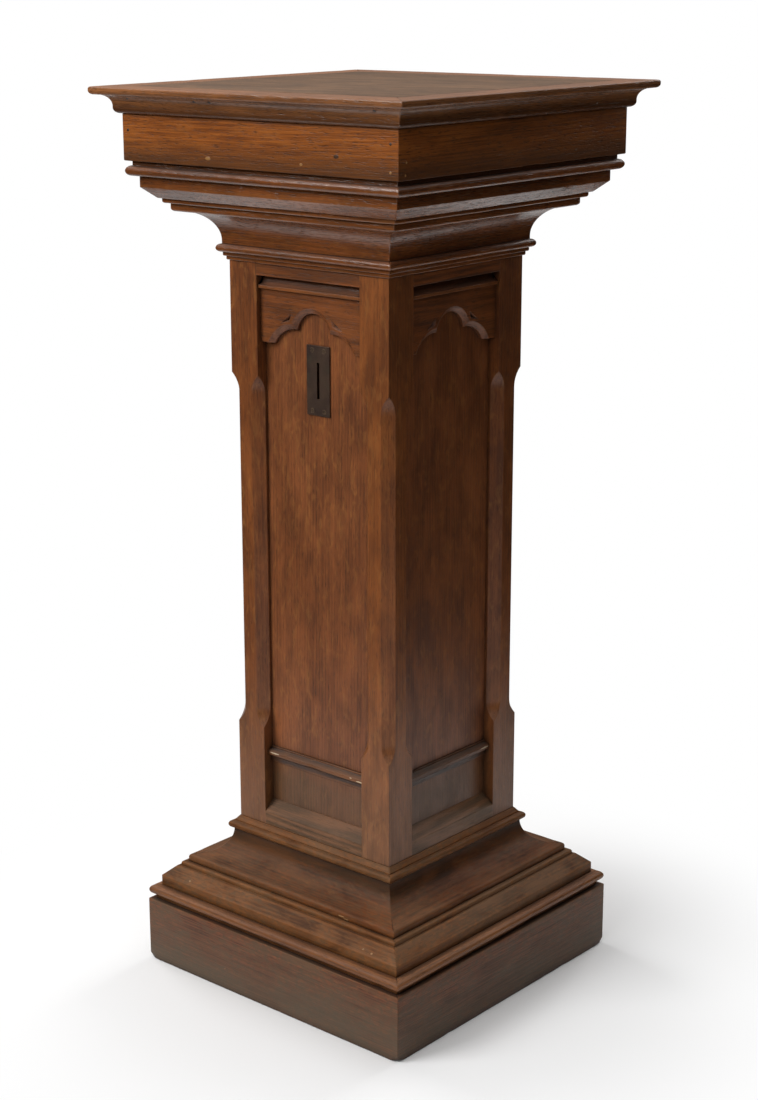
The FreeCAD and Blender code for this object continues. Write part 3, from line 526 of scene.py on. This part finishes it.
def oak(name, light, dark, place=None, rings=0.05, flecks=0.2, dust=0.06, soil=None, bloom=0.0, gloss=0.34,
        shine=0.45, rub_and_highlight=0.35, patchy=0.2, smooth=0.45):
    """Waxed oak: the layers mixed in order, each by its amount over what is there. Place is the turn and
    shift of a solid board's grain; without it the piece's own grain is read."""
    material, tree = new_material(name)
    true_normal = node(tree, "NewGeometry", out="Normal")
    here = node(tree, "TexCoord", out="Object")
    facing = node(tree, "SeparateXYZ", {0: true_normal}, out=2)
    fibre, normal, rubbed = plank_place(tree, here, true_normal, place)
    seen = oak_figure(tree, fibre)
    wood, tone, pores, stain = bare_wood(tree, seen, light, rings, flecks, smooth, patchy)
    # These layers carry wear and dirt, and painted shade in the corners.
    use = use_dirt_and_shade(tree, seen, here, rubbed, facing, stain, rub_and_highlight, bloom, dust, soil)
    colour = linear(dark)
    for amount, over, blend in wood + use:
        colour = node(tree, "Mix", {0: amount, 6: colour, 7: over}, out=2,
                      data_type="RGBA", blend_type=blend)
    waxed = node(tree, "MapRange", {0: tone, 3: gloss + 0.08, 4: gloss - 0.02})
    matt = node(tree, "MapRange", {0: facing, 1: 0.5, 2: 0.98, 4: 0.35})
    rough = node(tree, "Math", {0: waxed, 1: matt})
    height = node(tree, "Math", {0: pores, 1: PORE_PIT, 2: seen["streaks"]}, operation="MULTIPLY_ADD")
    bump = node(tree, "Bump", {
        "Strength": 0.4, "Distance": GRAIN_RELIEF, "Height": height, "Normal": normal})
    shader = node(tree, "BsdfPrincipled", {
        "Base Color": colour, "Roughness": rough, "Normal": bump, "Specular IOR Level": shine})
    node(tree, "OutputMaterial", {0: shader})
    return material


print("oak has relief of", GRAIN_RELIEF / MM, "mm")

# %% [markdown]
# ## Sections that base and capital share
# The joiner used the same three mouldings twice, upright in the capital and turned over in the base: a
# nosing, a step with a splay, and a large hollow. Drawing each twice could let them drift apart, so each is
# one function with a height and a rise, +1 for upright and -1 for turned over.

# %% Sections


def stand(section, level, rise):
    """Set a section at its height, the right way up or turned over, always counter-clockwise."""
    placed = section * [1, rise] + [0, level]
    placed = placed[np.linalg.norm(placed - np.roll(placed, 1, axis=0), axis=1) > 1e-6]
    return placed if rise > 0 else placed[::-1]


def nosing_section(level, rise):
    """Half circle, then a sunk quirk."""
    section = np.vstack([[[61, 0]], arc((86, 6.5), 6.5, -90, 90, 18), [[85.5, 13], [85.5, 19], [61, 19]]])
    return stand(section, level, rise)


def step_section(level, rise):
    """Rounded fillet, short flat, splay and upright band."""
    section = np.vstack([
        [[26.5, 0]], arc((57, 3), 3, -90, 0, 7),
        [[60, 6.5], [64, 6.5], [79.5, 20.5], [79.5, 35], [26.5, 35]]])
    return stand(section, level, rise)


def cove_section(level, rise, upright):
    """Quarter-circle hollow of 38 mm with a rounded lip."""
    v = upright + 38
    section = np.vstack([
        [[0, 0], [7, 0]], arc((45, upright), 38, 180, 90, 24), arc((48, v + 4.5), 4.5, -90, 0, 8),
        [[52.5, v + 10.5], [0, v + 10.5]]])
    return stand(section, level, rise)


print("the nosing's section has", len(nosing_section(0, 1)), "points")

# %% [markdown]
# ## Plinth
# Four boards on edge, mitred, with lower corners rubbed round by mops and feet. The corners could be cut by
# a Boolean, but that leaves a hard edge. So points outside a rounding circle are drawn in.

# %% Rubbed corners
PLINTH_OUT, CORNER_ROUND = 227.0, 12.0


def rub_corners(points):
    """Round the lower corners: what lies outside a circle, seen along the diagonal, comes in onto it."""
    corner = PLINTH_OUT * np.sqrt(2)
    diagonal = np.abs(points[:, :2]).sum(1) / np.sqrt(2)
    du = diagonal - (corner - CORNER_ROUND)
    dz = CORNER_ROUND - points[:, 2]
    far = np.hypot(du, dz)
    outside = (du > 0) & (dz > 0) & (far > CORNER_ROUND)
    pull = np.where(outside, CORNER_ROUND / np.maximum(far, 1e-9), 1)
    moved = points.copy()
    moved[:, :2] += np.sign(points[:, :2]) * (du * (pull - 1) / np.sqrt(2))[:, None]
    moved[:, 2] = CORNER_ROUND - dz * pull
    return np.where((pull < 1)[:, None], moved, points)


print("plinth corners are rounded by", CORNER_ROUND, "mm")

# %% Plinth boards
# Oak scrubbed with water and dirty from the floor: it reads as dull grey-brown, greyest at the foot.
plinth_oak = oak("scrubbed_oak_plinth", "#80492a", "#4a2a19", bloom=0.7, gloss=0.45, shine=0.25,
                 patchy=0.35, soil=(0.085, 0.02, 0.6, "#544a3c"))
plinth_section = np.vstack([
    [[71, 0]], arc((91.5, 1.5), 1.5, -90, 0, 5), arc((91.5, 89.5), 1.5, 0, 90, 5), [[71, 91]]])
for side in SIDES:
    run("plinth_" + side, plinth_section, plinth_oak, [side], dent=1.3, shape=rub_corners)

# %% [markdown]
# ## Base mouldings
# From the plinth up: a half-round nosing over a sunk quirk, a step with a splay, a large hollow, and a bead
# round the foot of the shaft. The same oak could serve for all, but feet rub the nosing pale, which also
# paints a highlight on it, and the hollow is darker towards its top, so there are three finishes.

# %% Nosing and step
# Rubbed oak, its pale round partly a painted highlight: the nosing catches every foot, so it reads as the
# palest line of the base.
nosing_oak = oak("rubbed_and_highlit_oak_nosing", "#8e5427", "#5a3416", bloom=0.3, gloss=0.36, shine=0.3, rub_and_highlight=0.6,
                 patchy=0.35)
run("base_nosing", nosing_section(110, -1), nosing_oak)
# Waxed oak under a film of old polish, its rubbed arrises partly a painted highlight: it reads as a soft,
# blotched olive brown with little shine.
base_oak = oak("waxed_oak_base", "#8c5529", "#4c2c12", bloom=0.6, gloss=0.38, shine=0.12, rub_and_highlight=0.6,
               patchy=0.4, smooth=0.8)
run("base_step", step_section(145, -1), base_oak)

# %% Hollow and foot bead
# The same oak, darker towards the top of the hollow, under the bead, its rubbed lip partly a painted
# highlight: it reads as red-brown that goes nearly black under the bead.
cavetto_oak = oak("waxed_oak_cavetto", "#80451d", "#3e210e", bloom=0.5, gloss=0.38, shine=0.12, rub_and_highlight=0.6,
                  patchy=0.4, smooth=0.8, soil=(0.158, 0.19, 0.6, "#33251a"))
run("base_cavetto", cove_section(193.5, -1, 0), cavetto_oak)
foot_section = np.vstack([[[0, 0]], arc((7.75, 5.25), 5.25, -90, 90, 16), [[6, 10.5], [6, 12], [0, 19.5]]])
run("foot_bead", stand(foot_section, 193.5, 1), base_oak)

# %% [markdown]
# ## Capital mouldings
# The base mouldings the other way up, over a neck bead with two small fillets. The base's finish could be
# used again, but no mop comes up here and the wax kept its gloss, so the capital has a finish of its own.

# %% Neck bead, hollow, step and nosing
# Well-kept waxed oak: it reads as deep red-brown with a clear satin shine along each round.
capital_oak = oak("waxed_oak_capital", "#804824", "#583014", gloss=0.22, shine=0.65)
neck_section = np.vstack([
    [[0, 0]], arc((1.6, 1.6), 1.6, -90, 0, 5), [[3.2, 5.25]], arc((4.8, 6.85), 1.6, -90, 0, 5),
    [[6.4, 10.5]], arc((7.75, 15.75), 5.25, -90, 90, 16), [[0, 21]]])
run("neck_bead", stand(neck_section, 980, 1), capital_oak)
run("capital_cove", cove_section(1001, 1, 4), capital_oak)
run("capital_step", step_section(1053.5, 1), capital_oak)
run("capital_nosing", nosing_section(1088.5, 1), capital_oak)

# %% [markdown]
# ## Frieze
# Four plain boards on edge, mitred. They could be one box, but the grain has to stop at each corner, so
# they are strips like the mouldings.

# %% Frieze boards
# Waxed oak with its grain left clear: it reads as the warmest brown of the box, soiled at its foot.
frieze_oak = oak("waxed_oak_frieze", "#9e5a25", "#693611", dust=0.0, shine=0.25, smooth=0.3,
                 soil=(1.14, 1.114, 0.7, "#422c1c"))
frieze_section = np.vstack([[[75, 0]], arc((91.5, 1.5), 1.5, -90, 0, 5), [[93, 59], [75, 59]]])
for side in SIDES:
    run("frieze_" + side, stand(frieze_section, 1107.5, 1), frieze_oak, [side])

# %% [markdown]
# ## Cornice and top
# The cornice is a round, a hollow and a lip, mitred, with a flat top board let in between its strips. The
# top could be part of the cornice, but it is one wide board with its grain one way, so it is a single strip
# with square ends.

# %% Cornice
# Waxed oak bleached by light, darker on the round below: it reads as a pale lip over a dark line.
cornice_oak = oak("waxed_oak_cornice", "#925e39", "#694328", gloss=0.22,
                  soil=(1.181, 1.172, 0.7, "#341a0b"))
cornice_section = np.vstack([
    [[73, 0]], arc((94.5, 7), 7, -90, 0, 12), arc((115.5, 9.5), 14, 180, 90, 16),
    arc((118, 28.5), 5, -90, 0, 10), arc((120.5, 31), 2.5, 0, 90, 6), [[82, 33.5], [82, 19.5], [73, 19.5]]])
run("cornice", stand(cornice_section, 1166.5, 1), cornice_oak)

# %% Top board
TOP_HALF, TOP_UNDER, TOP_LEVEL = 215.5, 1186, 1200
# Dry oak under dust, never waxed as well as the rest: it reads as flat grey-brown without a highlight.
top_oak = oak("dusty_oak_top", "#765437", "#463221", dust=0.14, gloss=0.55, shine=0.2)
top_section = np.array([
    [-TOP_HALF, TOP_UNDER], [TOP_HALF, TOP_UNDER], [TOP_HALF, TOP_LEVEL], [-TOP_HALF, TOP_LEVEL]])
run("top_board", top_section - [SHAFT_HALF, 0], top_oak, ["front"],
    ends=lambda out: np.full_like(out, TOP_HALF))

# %% [markdown]
# ## Stopped nails
# The mouldings were nailed on, and the holes were stopped with dark wax and later with paler putty. Painted
# dots would do from afar, but a stopping stands proud and catches light. So each is a low dome: a squashed
# sphere, half sunk in the wood. The places are read off the photograph.

# %% Stopping
BULGE, LATITUDES, LONGITUDES = 0.3, 9, 16
# The rings stop short of the poles, and a flat cap closes each end.
LAST_LATITUDE = 80


def stopping(name, side, spots, material):
    """Squashed spheres: in the face, cosine of latitude times half length and half width; off it, sine
    times bulge. A spot is (along, out, up, tilt of the face, half length, half width), in mm and degrees."""
    along, out, up, tilt, length, width = np.array(spots, float).T[:, :, None, None]
    tilt = np.radians(tilt)
    latitude = np.radians(np.linspace(-LAST_LATITUDE, LAST_LATITUDE, LATITUDES))[None, :, None]
    turn = np.linspace(0, 2 * np.pi, LONGITUDES, endpoint=False)[None, None]
    rise = width * np.cos(latitude) * np.sin(turn)
    proud = BULGE * np.sin(latitude) + 0 * turn
    along = along + length * np.cos(latitude) * np.cos(turn)
    out = out + proud * np.cos(tilt) - rise * np.sin(tilt)
    up = up + proud * np.sin(tilt) + rise * np.cos(tilt)
    c, s = SIDES[side]
    points = np.stack([c * along + s * out, s * along - c * out, up], -1).reshape(-1, 3)
    faces = []
    for k in range(len(spots)):
        faces += tube(LATITUDES, LONGITUDES, k * LATITUDES * LONGITUDES)
    add_piece(name, points, faces, points, np.zeros(len(points)), material, None)


print("stoppings stand", BULGE, "mm proud")

# %% Dark wax
# Beeswax blackened with soot: it reads as small black dots.
dark_wax = oak("dark_wax_stopping", "#331d0e", "#1f1108")
# The middle of the cornice's hollow faces half down.
HOLLOW_OUT, HOLLOW_UP, HOLLOW_TILT = 239.6, 1185.9, -45
FRIEZE_OUT = 227
stopping("wax_in_cornice", "front", [
    (x, HOLLOW_OUT, HOLLOW_UP, HOLLOW_TILT, 2.2, 2.0) for x in (-203, -85, -59, 202)],
    dark_wax)
stopping("wax_in_frieze", "front", [
    (-217, FRIEZE_OUT, 1146, 0, 1.9, 1.9), (133, FRIEZE_OUT, 1131, 0, 4.2, 2.4),
    (215, FRIEZE_OUT, 1149, 0, 1.9, 1.9)], dark_wax)

# %% Pale putty
# Putty from a later repair: it reads as dull straw-coloured dots.
pale_putty = oak("pale_putty_stopping", "#a37846", "#835c34", dust=0.0)
# The splay of the base step faces half up; the lip of the hollow and the plinth are upright.
SPLAY_TILT, LIP_OUT = 48, 186.5
stopping("putty_in_frieze", "front", [
    (-76, FRIEZE_OUT, 1118, 0, 4.5, 2.2), (78, FRIEZE_OUT, 1119, 0, 2.6, 1.6),
    (215, FRIEZE_OUT, 1117, 0, 1.8, 1.6)], pale_putty)
stopping("putty_in_frieze_right", "right", [
    (-213, FRIEZE_OUT, 1128, 0, 1.4, 1.4), (-215, FRIEZE_OUT, 1114, 0, 1.4, 1.4)], pale_putty)
stopping("putty_in_base", "front", [
    (-162, 208.7, 128.8, SPLAY_TILT, 1.9, 1.7), (154, 208.7, 128.8, SPLAY_TILT, 1.7, 1.5),
    (169, 209.8, 127.8, SPLAY_TILT, 1.7, 1.5), (97, LIP_OUT, 149, 0, 5.5, 0.9),
    (105, LIP_OUT, 147, 0, 4.5, 0.8), (-79, PLINTH_OUT, 31, 0, 0.9, 0.9)], pale_putty)

# %% [markdown]
# ## Bars on the panels
# Under each top rail runs a bar with a hollow edge, and low on each panel a nosed string bar. They could be
# mitred like the mouldings, but on the box they are butted between the posts, so their strips have square
# ends.

# %% Head bars and string bars
# Waxed oak like the capital's, in the shade of the rail: it reads as a soft brown line.
head_oak = oak("waxed_oak_head_bars", "#804824", "#583014")
# Oak with years of grime on its ledge: it reads as a nearly black line with a rubbed edge.
string_oak = oak("grimy_oak_string_bars", "#52301b", "#311c0f", dust=0.14, rub_and_highlight=0.6)
PANELLED = ("front", "right", "left")
BAR_HALF = 86.9
head_section = np.vstack([
    [[-17, 0], [-2.5, 0]], arc((-2.5, 14.5), 10, 270, 180, 12), [[-12.5, 17], [-17, 17]]])
string_section = np.vstack([
    [[-17, 0], [-14, 0]], arc((-7, 4.5), 7, 180, 90, 10),
    [[-7, 16.5], [-14.5, 19.5], [-14.5, 22], [-17, 22]]])
BARS = (("head_bars", head_section, 947.5, head_oak), ("string_bars", string_section, 299.5, string_oak))
for name, section, level, finish in BARS:
    run(name, stand(section, level, 1), finish, PANELLED,
        ends=lambda out: np.full_like(out, BAR_HALF))

# %% [markdown]
# Knocks have chipped the string bars near their ends, and fresh wood shows; the pale dashes there also
# paint the glint of the wax on those ends. A chip could be cut out of the strip, but only its pale colour is
# seen, so it is a long flat dome like a stopping.

# %% Chips and painted glints
# Bare oak without stain, pale also as a painted glint: it reads as short pale dashes.
chip_and_glint_oak = oak("pale_chips_and_painted_glint", "#d9c7a8", "#bfa680", dust=0.0, shine=0.6)
NOSE_OUT = 126.9
stopping("chips_and_painted_glints_in_front_string", "front", [
    (-75, NOSE_OUT, 314.6, 0, 9, 0.9), (62, NOSE_OUT, 314.8, 0, 2, 0.8), (78, NOSE_OUT, 312.8, 0, 7, 0.9)],
    chip_and_glint_oak)
stopping("chips_and_painted_glints_in_right_string", "right", [(76, NOSE_OUT, 314.6, 0, 9, 0.9)], chip_and_glint_oak)

# %% [markdown]
# ## Boards that keep their solid
# Posts, rails, panels, arched boards and the door are flat-sided. They could be drawn again, but their
# solids are right and only need a finish. Each was cut from another plank and gets its own place in the
# tree. Posts, panels and door have the heart beside them, which draws straight lines. Rails and arched
# boards have it behind them, which draws arches.

# %% Grain of a solid board
TURN = {"X": (0, 0, 0), "Y": (0, 0, -np.pi / 2), "Z": (0, np.pi / 2, 0)}
# Least and most that the heart lies beside the board, and how far it lies behind, in metres.
QUARTER_SAWN, FLAT_SAWN = (0.1, 0.15, 0.02), (-0.03, 0.03, 0.06)


def lay_grain(name, axis, sawn):
    """Turn that brings the board's length to x, and shift that puts the heart of the tree on the x axis."""
    low, high = [Vector(corner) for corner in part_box(name)]
    middle, size = (low + high) / 2, high - low
    thin, wide = sorted((k for k in range(3) if k != "XYZ".index(axis)), key=lambda k: size[k])
    least, most, behind = sawn
    heart = middle.copy()
    heart[wide] += draw.uniform(least, most)
    heart[thin] -= behind * np.sign(middle[thin])
    turn = Euler(TURN[axis])
    for k in (1, 2):
        turn[k] += draw.uniform(-GRAIN_SLOPE, GRAIN_SLOPE)
    return tuple(turn), tuple(-(turn.to_matrix() @ heart))


print("the heart lies up to", QUARTER_SAWN[1], "m beside a straight board")

# %% Which boards are oak and which are pine
INSIDE = ("plinth_corner_blocks", "base_deck", "crown_board", "money_floor", "floor_bearers")
STRAIGHT = ("post_", "panel_", "door_")
ARCHED = ("top_rail", "bottom_rail", "spandrel")


def long_axis(name):
    """Axis along which a board is longest. An arched board is cut with its grain across the panel."""
    if name.startswith("spandrel"):
        return "Y" if name.endswith(("left", "right")) else "X"
    low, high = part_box(name)
    return "XYZ"[int(np.argmax(np.subtract(high, low)))]


grains = {}
for name in nodes:
    if name in INSIDE or name.startswith(STRAIGHT + ARCHED) and not name.endswith("screws"):
        sawn = QUARTER_SAWN if name.startswith(STRAIGHT) else FLAT_SAWN
        grains[name] = lay_grain(name, long_axis(name), sawn)
print(len(grains), "boards have their place in a tree")

# %% [markdown]
# ## Pine inside
# Blocks, deck, floor and bearers could stay grey, but the door opens. So they get the pale softwood that
# joiners use where nobody looks.

# %% Pine


def dress(name, finish):
    """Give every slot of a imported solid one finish."""
    for slot in nodes[name].material_slots:
        slot.material = finish
    print(name, "in", finish.name)


# Planed pine without stain: it reads as pale yellow-brown, so the inside looks clean and cheap.
for name in INSIDE:
    dress(name, oak("planed_pine_" + name, "#a8804e", "#8a6236", grains[name]))

# %% [markdown]
# ## Oak of the shaft
# One finish could serve for the whole shaft, but neighbouring boards of an old piece never match. So three
# shades are dealt out by the length of a board's name, which is as good as chance and never changes. Panels
# and bottom rails, redder and greyer in the photograph, have shades of their own.

# %% Shades of the shaft
PLANKS = (("#864b25", "#5c3115"), ("#8f5228", "#633516"), ("#804723", "#572e13"))
PANEL = ("#894f2c", "#5e341b")
BOTTOM_RAIL = ("#7c4a27", "#4c2d16")
# Dirt gathers in the foot of a panel and thinly on the lower half of everything else.
PANEL_SOIL, SHAFT_SOIL = (0.33, 0.28, 0.55, "#4c3b24"), (0.45, 0.22, 0.25, "#6a5636")


def shades(name):
    """Light and dark tone of a board of the shaft."""
    if "bottom" in name:
        return BOTTOM_RAIL
    if "panel" in name:
        return PANEL
    return PLANKS[len(name) % len(PLANKS)]


print("the front panel is", *shades("panel_front"))

# %% Oak on the solids
for name in grains:
    if name in INSIDE:
        continue
    light, dark = shades(name)
    soil = PANEL_SOIL if "panel" in name else SHAFT_SOIL
    # Waxed oak: straight boards read as even satin brown with pale flecks, the others show arched rings.
    if name.startswith(STRAIGHT):
        figure = {"rings": 0.06, "flecks": 0.4, "smooth": 0.62}
    else:
        figure = {"rings": 0.14 if "spandrel" in name else 0.24, "flecks": 0.1, "smooth": 0.5}
    finish = oak("waxed_oak_" + name, light, dark, grains[name], soil=soil, bloom=0.1, shine=0.4, **figure)
    dress(name, finish)

# %% [markdown]
# ## Old metal
# The slot plate is cast bronze gone brown, a little green where polish was left in the corners. Hinges and
# escutcheon are tarnished brass, and the lock is blacked iron. One flat colour would look like paint, so
# the patina is two browns in clouds of a few centimetres, a green tint, and bright edges where it is
# rubbed. Casting and filing leave a grain of a few tenths of a mm, drawn coarser here, at 1.5 mm, so that
# it shows.

# %% Patina
CLOUD_SIZE, TINT_SIZE, GRAIN_SIZE = 30, 22, 1.5
EDGE_RADIUS, GRAIN_DEPTH = 0.0005, 0.0003
RUBBED_METAL = "#8a6a4a"
# A patina is partly oxide, so the surface is not all metal.
METAL_SHARE = 0.7


def patina(name, light, dark, green):
    """Old metal: two browns mixed by a cloudy noise, green by another, roughness and relief by a fine one."""
    material, tree = new_material(name)
    here = node(tree, "TexCoord", out="Object")
    true_normal = node(tree, "NewGeometry", out="Normal")
    cloud = node(tree, "TexNoise", {"Vector": here, "Scale": 1 / (CLOUD_SIZE * MM), "Detail": 3.0})
    tint = node(tree, "TexNoise", {"Vector": here, "Scale": 1 / (TINT_SIZE * MM), "Detail": 3.0})
    fine = node(tree, "TexNoise", {"Vector": here, "Scale": 1 / (GRAIN_SIZE * MM), "Detail": 2.0})
    tone = node(tree, "MapRange", {0: cloud, 1: 0.3, 2: 0.7})
    tint = node(tree, "MapRange", {0: tint, 1: 0.5, 2: 0.75, 4: 0.35})
    normal = node(tree, "Bevel", {"Radius": EDGE_RADIUS}, samples=4)
    bent = node(tree, "VectorMath", {0: normal, 1: true_normal}, out="Value", operation="DOT_PRODUCT")
    rubbed = node(tree, "MapRange", {0: bent, 1: 0.99, 2: 0.8, 4: 0.5})
    colour = linear(dark)
    for amount, over in ((tone, light), (tint, green), (rubbed, RUBBED_METAL)):
        colour = node(tree, "Mix", {0: amount, 6: colour, 7: linear(over)}, out=2, data_type="RGBA")
    rough = node(tree, "MapRange", {0: fine, 1: 0.3, 2: 0.7, 3: 0.4, 4: 0.58})
    bump = node(tree, "Bump", {"Strength": 0.2, "Distance": GRAIN_DEPTH, "Height": fine, "Normal": normal})
    shader = node(tree, "BsdfPrincipled", {
        "Base Color": colour, "Metallic": METAL_SHARE, "Roughness": rough, "Normal": bump})
    node(tree, "OutputMaterial", {0: shader})
    return material


print("patina has clouds of", CLOUD_SIZE, "mm")

# %% Bronze, brass and iron
# Cast bronze browned by age: it reads as a dark, dull plate with a faint sheen.
slot_bronze = patina("browned_cast_bronze", "#5e4a3c", "#453630", "#4c4e3c")
# The same bronze, rubbed by fingers: screw heads read lighter than the plate.
screw_bronze = patina("rubbed_bronze_screws", "#6a5645", "#4e4034", "#545642")
# Rolled brass gone dull: it reads as brownish gold.
hinge_brass = patina("tarnished_rolled_brass", "#9a7a44", "#6c5230", "#5f6a4c")
# Iron blacked with oil: it reads as nearly black with brown edges.
lock_iron = patina("blacked_iron", "#3c3835", "#262423", "#4a3a30")
METAL = {
    "slot_plate": slot_bronze, "slot_plate_screws": screw_bronze, "hinge_post_leaves": hinge_brass,
    "hinge_door_leaves": hinge_brass, "hinge_pins": hinge_brass, "post_screws": hinge_brass,
    "door_screws": hinge_brass, "escutcheon": hinge_brass, "keeper_plate": hinge_brass,
    "lock_case": lock_iron, "lock_bolt": lock_iron}
for name, finish in METAL.items():
    dress(name, finish)

# %% [markdown]
# ## Studio
# The photograph is a cut-out on white with soft light from the left. An endless white floor would do, but
# it would throw light up at the base from all sides. So the floor is one sheet of white paper, just wider
# than the picture, which carries the shadow and fades to white for the camera and in reflections.

# %% Stage pieces


def stage_piece(name, points, faces, material):
    """Mesh that belongs to the studio, not to the object."""
    mesh = bpy.data.meshes.new(name)
    mesh.from_pydata(points.tolist(), [], faces)
    mesh.materials.append(material)
    made = bpy.data.objects.new(name, mesh)
    bpy.context.scene.collection.objects.link(made)
    made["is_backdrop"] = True
    return made


def seen_directly(tree):
    """1 for rays from the camera, off a glossy surface or through glass, and 0 for light that scatters."""
    path = node(tree, "LightPath").node
    seen = path.outputs["Is Camera Ray"]
    for other in ("Is Glossy Ray", "Is Transmission Ray"):
        seen = node(tree, "Math", {0: seen, 1: path.outputs[other]}, operation="MAXIMUM")
    return seen


print("stage pieces stay out of the part")

# %% Floor
CAMERA = Vector((1.7529, -2.0499, 1.343))
FLOOR_HALF, FLOOR_NEAR, FLOOR_FAR, FLOOR_CELLS = 1.05, -1.6, 2.4, 12
# The sheet runs away from the camera, and turns white between these distances from the box's middle.
FADE_START, FADE_END = 0.28, 0.68
view = np.array([-CAMERA.x, -CAMERA.y]) / np.hypot(CAMERA.x, CAMERA.y)
u, v = np.meshgrid(
    np.linspace(-FLOOR_HALF, FLOOR_HALF, FLOOR_CELLS), np.linspace(FLOOR_NEAR, FLOOR_FAR, FLOOR_CELLS))
floor_points = np.stack([u * view[1] + v * view[0], v * view[1] - u * view[0], 0 * u], -1).reshape(-1, 3)
index = np.arange(FLOOR_CELLS ** 2).reshape(FLOOR_CELLS, FLOOR_CELLS)
floor_faces = np.stack([index[:-1, :-1], index[:-1, 1:], index[1:, 1:], index[1:, :-1]], -1).reshape(-1, 4)
# Matt white paper: it reads as a plain bright ground with one soft shadow.
paper, tree = new_material("white_paper_floor")
here = node(tree, "TexCoord", out="Object")
far = node(tree, "VectorMath", {0: here}, out="Value", operation="LENGTH")
fade = node(tree, "MapRange", {0: far, 1: FADE_START, 2: FADE_END}, interpolation_type="SMOOTHSTEP")
fade = node(tree, "Math", {0: fade, 1: seen_directly(tree)}, operation="MULTIPLY")
sheet = node(tree, "BsdfDiffuse", {"Color": linear("#fafafa")})
white = node(tree, "Emission", {"Color": (1, 1, 1, 1), "Strength": 1.0})
faded = node(tree, "MixShader", {0: fade, 1: sheet, 2: white})
node(tree, "OutputMaterial", {0: faded})
stage_piece("floor", floor_points, floor_faces.tolist(), paper)
print("floor of white paper", 2 * FLOOR_HALF, "m wide")

# %% [markdown]
# A white world makes waxed wood look milky. It could be black, but the photograph's ground is white. So it
# is white to the eye and dim as a light, and a wall of dark cloth that the camera does not see gives the
# wax something dark to reflect.

# %% World
AMBIENT = 0.2
world = bpy.data.worlds.new("studio")
bpy.context.scene.world = world
world.use_nodes = True
tree = world.node_tree
tree.nodes.clear()
strength = node(tree, "MapRange", {0: seen_directly(tree), 3: AMBIENT, 4: 1.0})
sky = node(tree, "Background", {"Color": (1, 1, 1, 1), "Strength": strength})
node(tree, "OutputWorld", {0: sky})
print("world at", AMBIENT, "for scattered light")

# %% Dark wall
WALL_RADIUS, WALL_FOOT, WALL_HEAD, SPOKES = 4.6, -3.0, 4.0, 48
angle = np.linspace(0, 2 * np.pi, SPOKES, endpoint=False)
ring = WALL_RADIUS * np.stack([np.cos(angle), np.sin(angle)], -1)
wall_points = np.vstack([np.column_stack([ring, np.full(SPOKES, z)]) for z in (WALL_FOOT, WALL_HEAD)])
index = np.arange(SPOKES)
beside = np.roll(index, -1)
wall_faces = np.stack([index, index + SPOKES, beside + SPOKES, beside], -1)
# Dark cloth: never seen itself, it keeps the shine on the oak deep.
cloth, tree = new_material("dark_studio_cloth")
weave = node(tree, "BsdfDiffuse", {"Color": linear("#202020")})
node(tree, "OutputMaterial", {0: weave})
stage_piece("studio_wall", wall_points, wall_faces.tolist(), cloth).visible_camera = False
print("wall", WALL_RADIUS, "m away")

# %% [markdown]
# The photograph has one large soft light on the left of the camera. A single lamp could do that, but the
# right face and the back would be black, so weak lamps fill them.

# %% Lamps
MIDDLE = (0, 0, 0.6)


def lamp(name, place, size, power, target=MIDDLE):
    """Square soft lamp aimed at a point; size in metres, power in watts."""
    light = bpy.data.lights.new(name, "AREA")
    light.size = size
    light.energy = power
    made = bpy.data.objects.new(name, light)
    made.location = place
    made.rotation_euler = (Vector(target) - Vector(place)).to_track_quat("-Z", "Y").to_euler()
    bpy.context.scene.collection.objects.link(made)
    print(name, power, "W")


lamp("key_left", (-1.4, -2.85, 2.9), 1.8, 100)
lamp("fill_front", (0.55, -3.13, 1.9), 1.6, 24)
lamp("top_soft", (0.2, 0.2, 3.4), 2.4, 27, (0, 0, 0))
lamp("side_left", (-3.2, 0.3, 2.0), 1.6, 45)
lamp("fill_right", (2.8, -1.8, 1.9), 1.2, 5)
lamp("rear", (0.0, 3.4, 2.0), 1.6, 55)

# %% [markdown]
# The camera was fitted to edges and corners in the photograph. It could stand level with the box in the
# middle, but the photograph is cropped to one side and half a degree askew, so the camera has a shift and a
# roll to match.

# %% Camera
PHOTO_HEIGHT, FOCAL_PIXELS, SENSOR = 1100, 2087.3, 36
ROLL, SHIFT_PIXELS = -0.0091, 55.9
AIM = Vector((-0.0538, -0.0484, 0.5883))
camera = bpy.data.objects.new("camera", bpy.data.cameras.new("camera"))
camera.location = CAMERA
look = (AIM - CAMERA).to_track_quat("-Z", "Y")
camera.rotation_euler = (look @ Quaternion((0, 0, 1), ROLL)).to_euler()
camera.data.shift_x = SHIFT_PIXELS / PHOTO_HEIGHT
camera.data.lens = FOCAL_PIXELS / PHOTO_HEIGHT * SENSOR
bpy.context.scene.collection.objects.link(camera)
bpy.context.scene.camera = camera
bpy.context.scene.view_settings.view_transform = "Standard"
print("camera", round((AIM - CAMERA).length, 2), "m away")

# %% [markdown]
# The dressed model must not outgrow the solids. A picture would not show a millimetre, so the boxes of both
# are written down as numbers.

# %% Sizes
boxes = {"cad": cad_box, "visual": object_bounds()}
boxes = {key: [[float(v) for v in corner] for corner in value] for key, value in boxes.items()}
print(boxes)
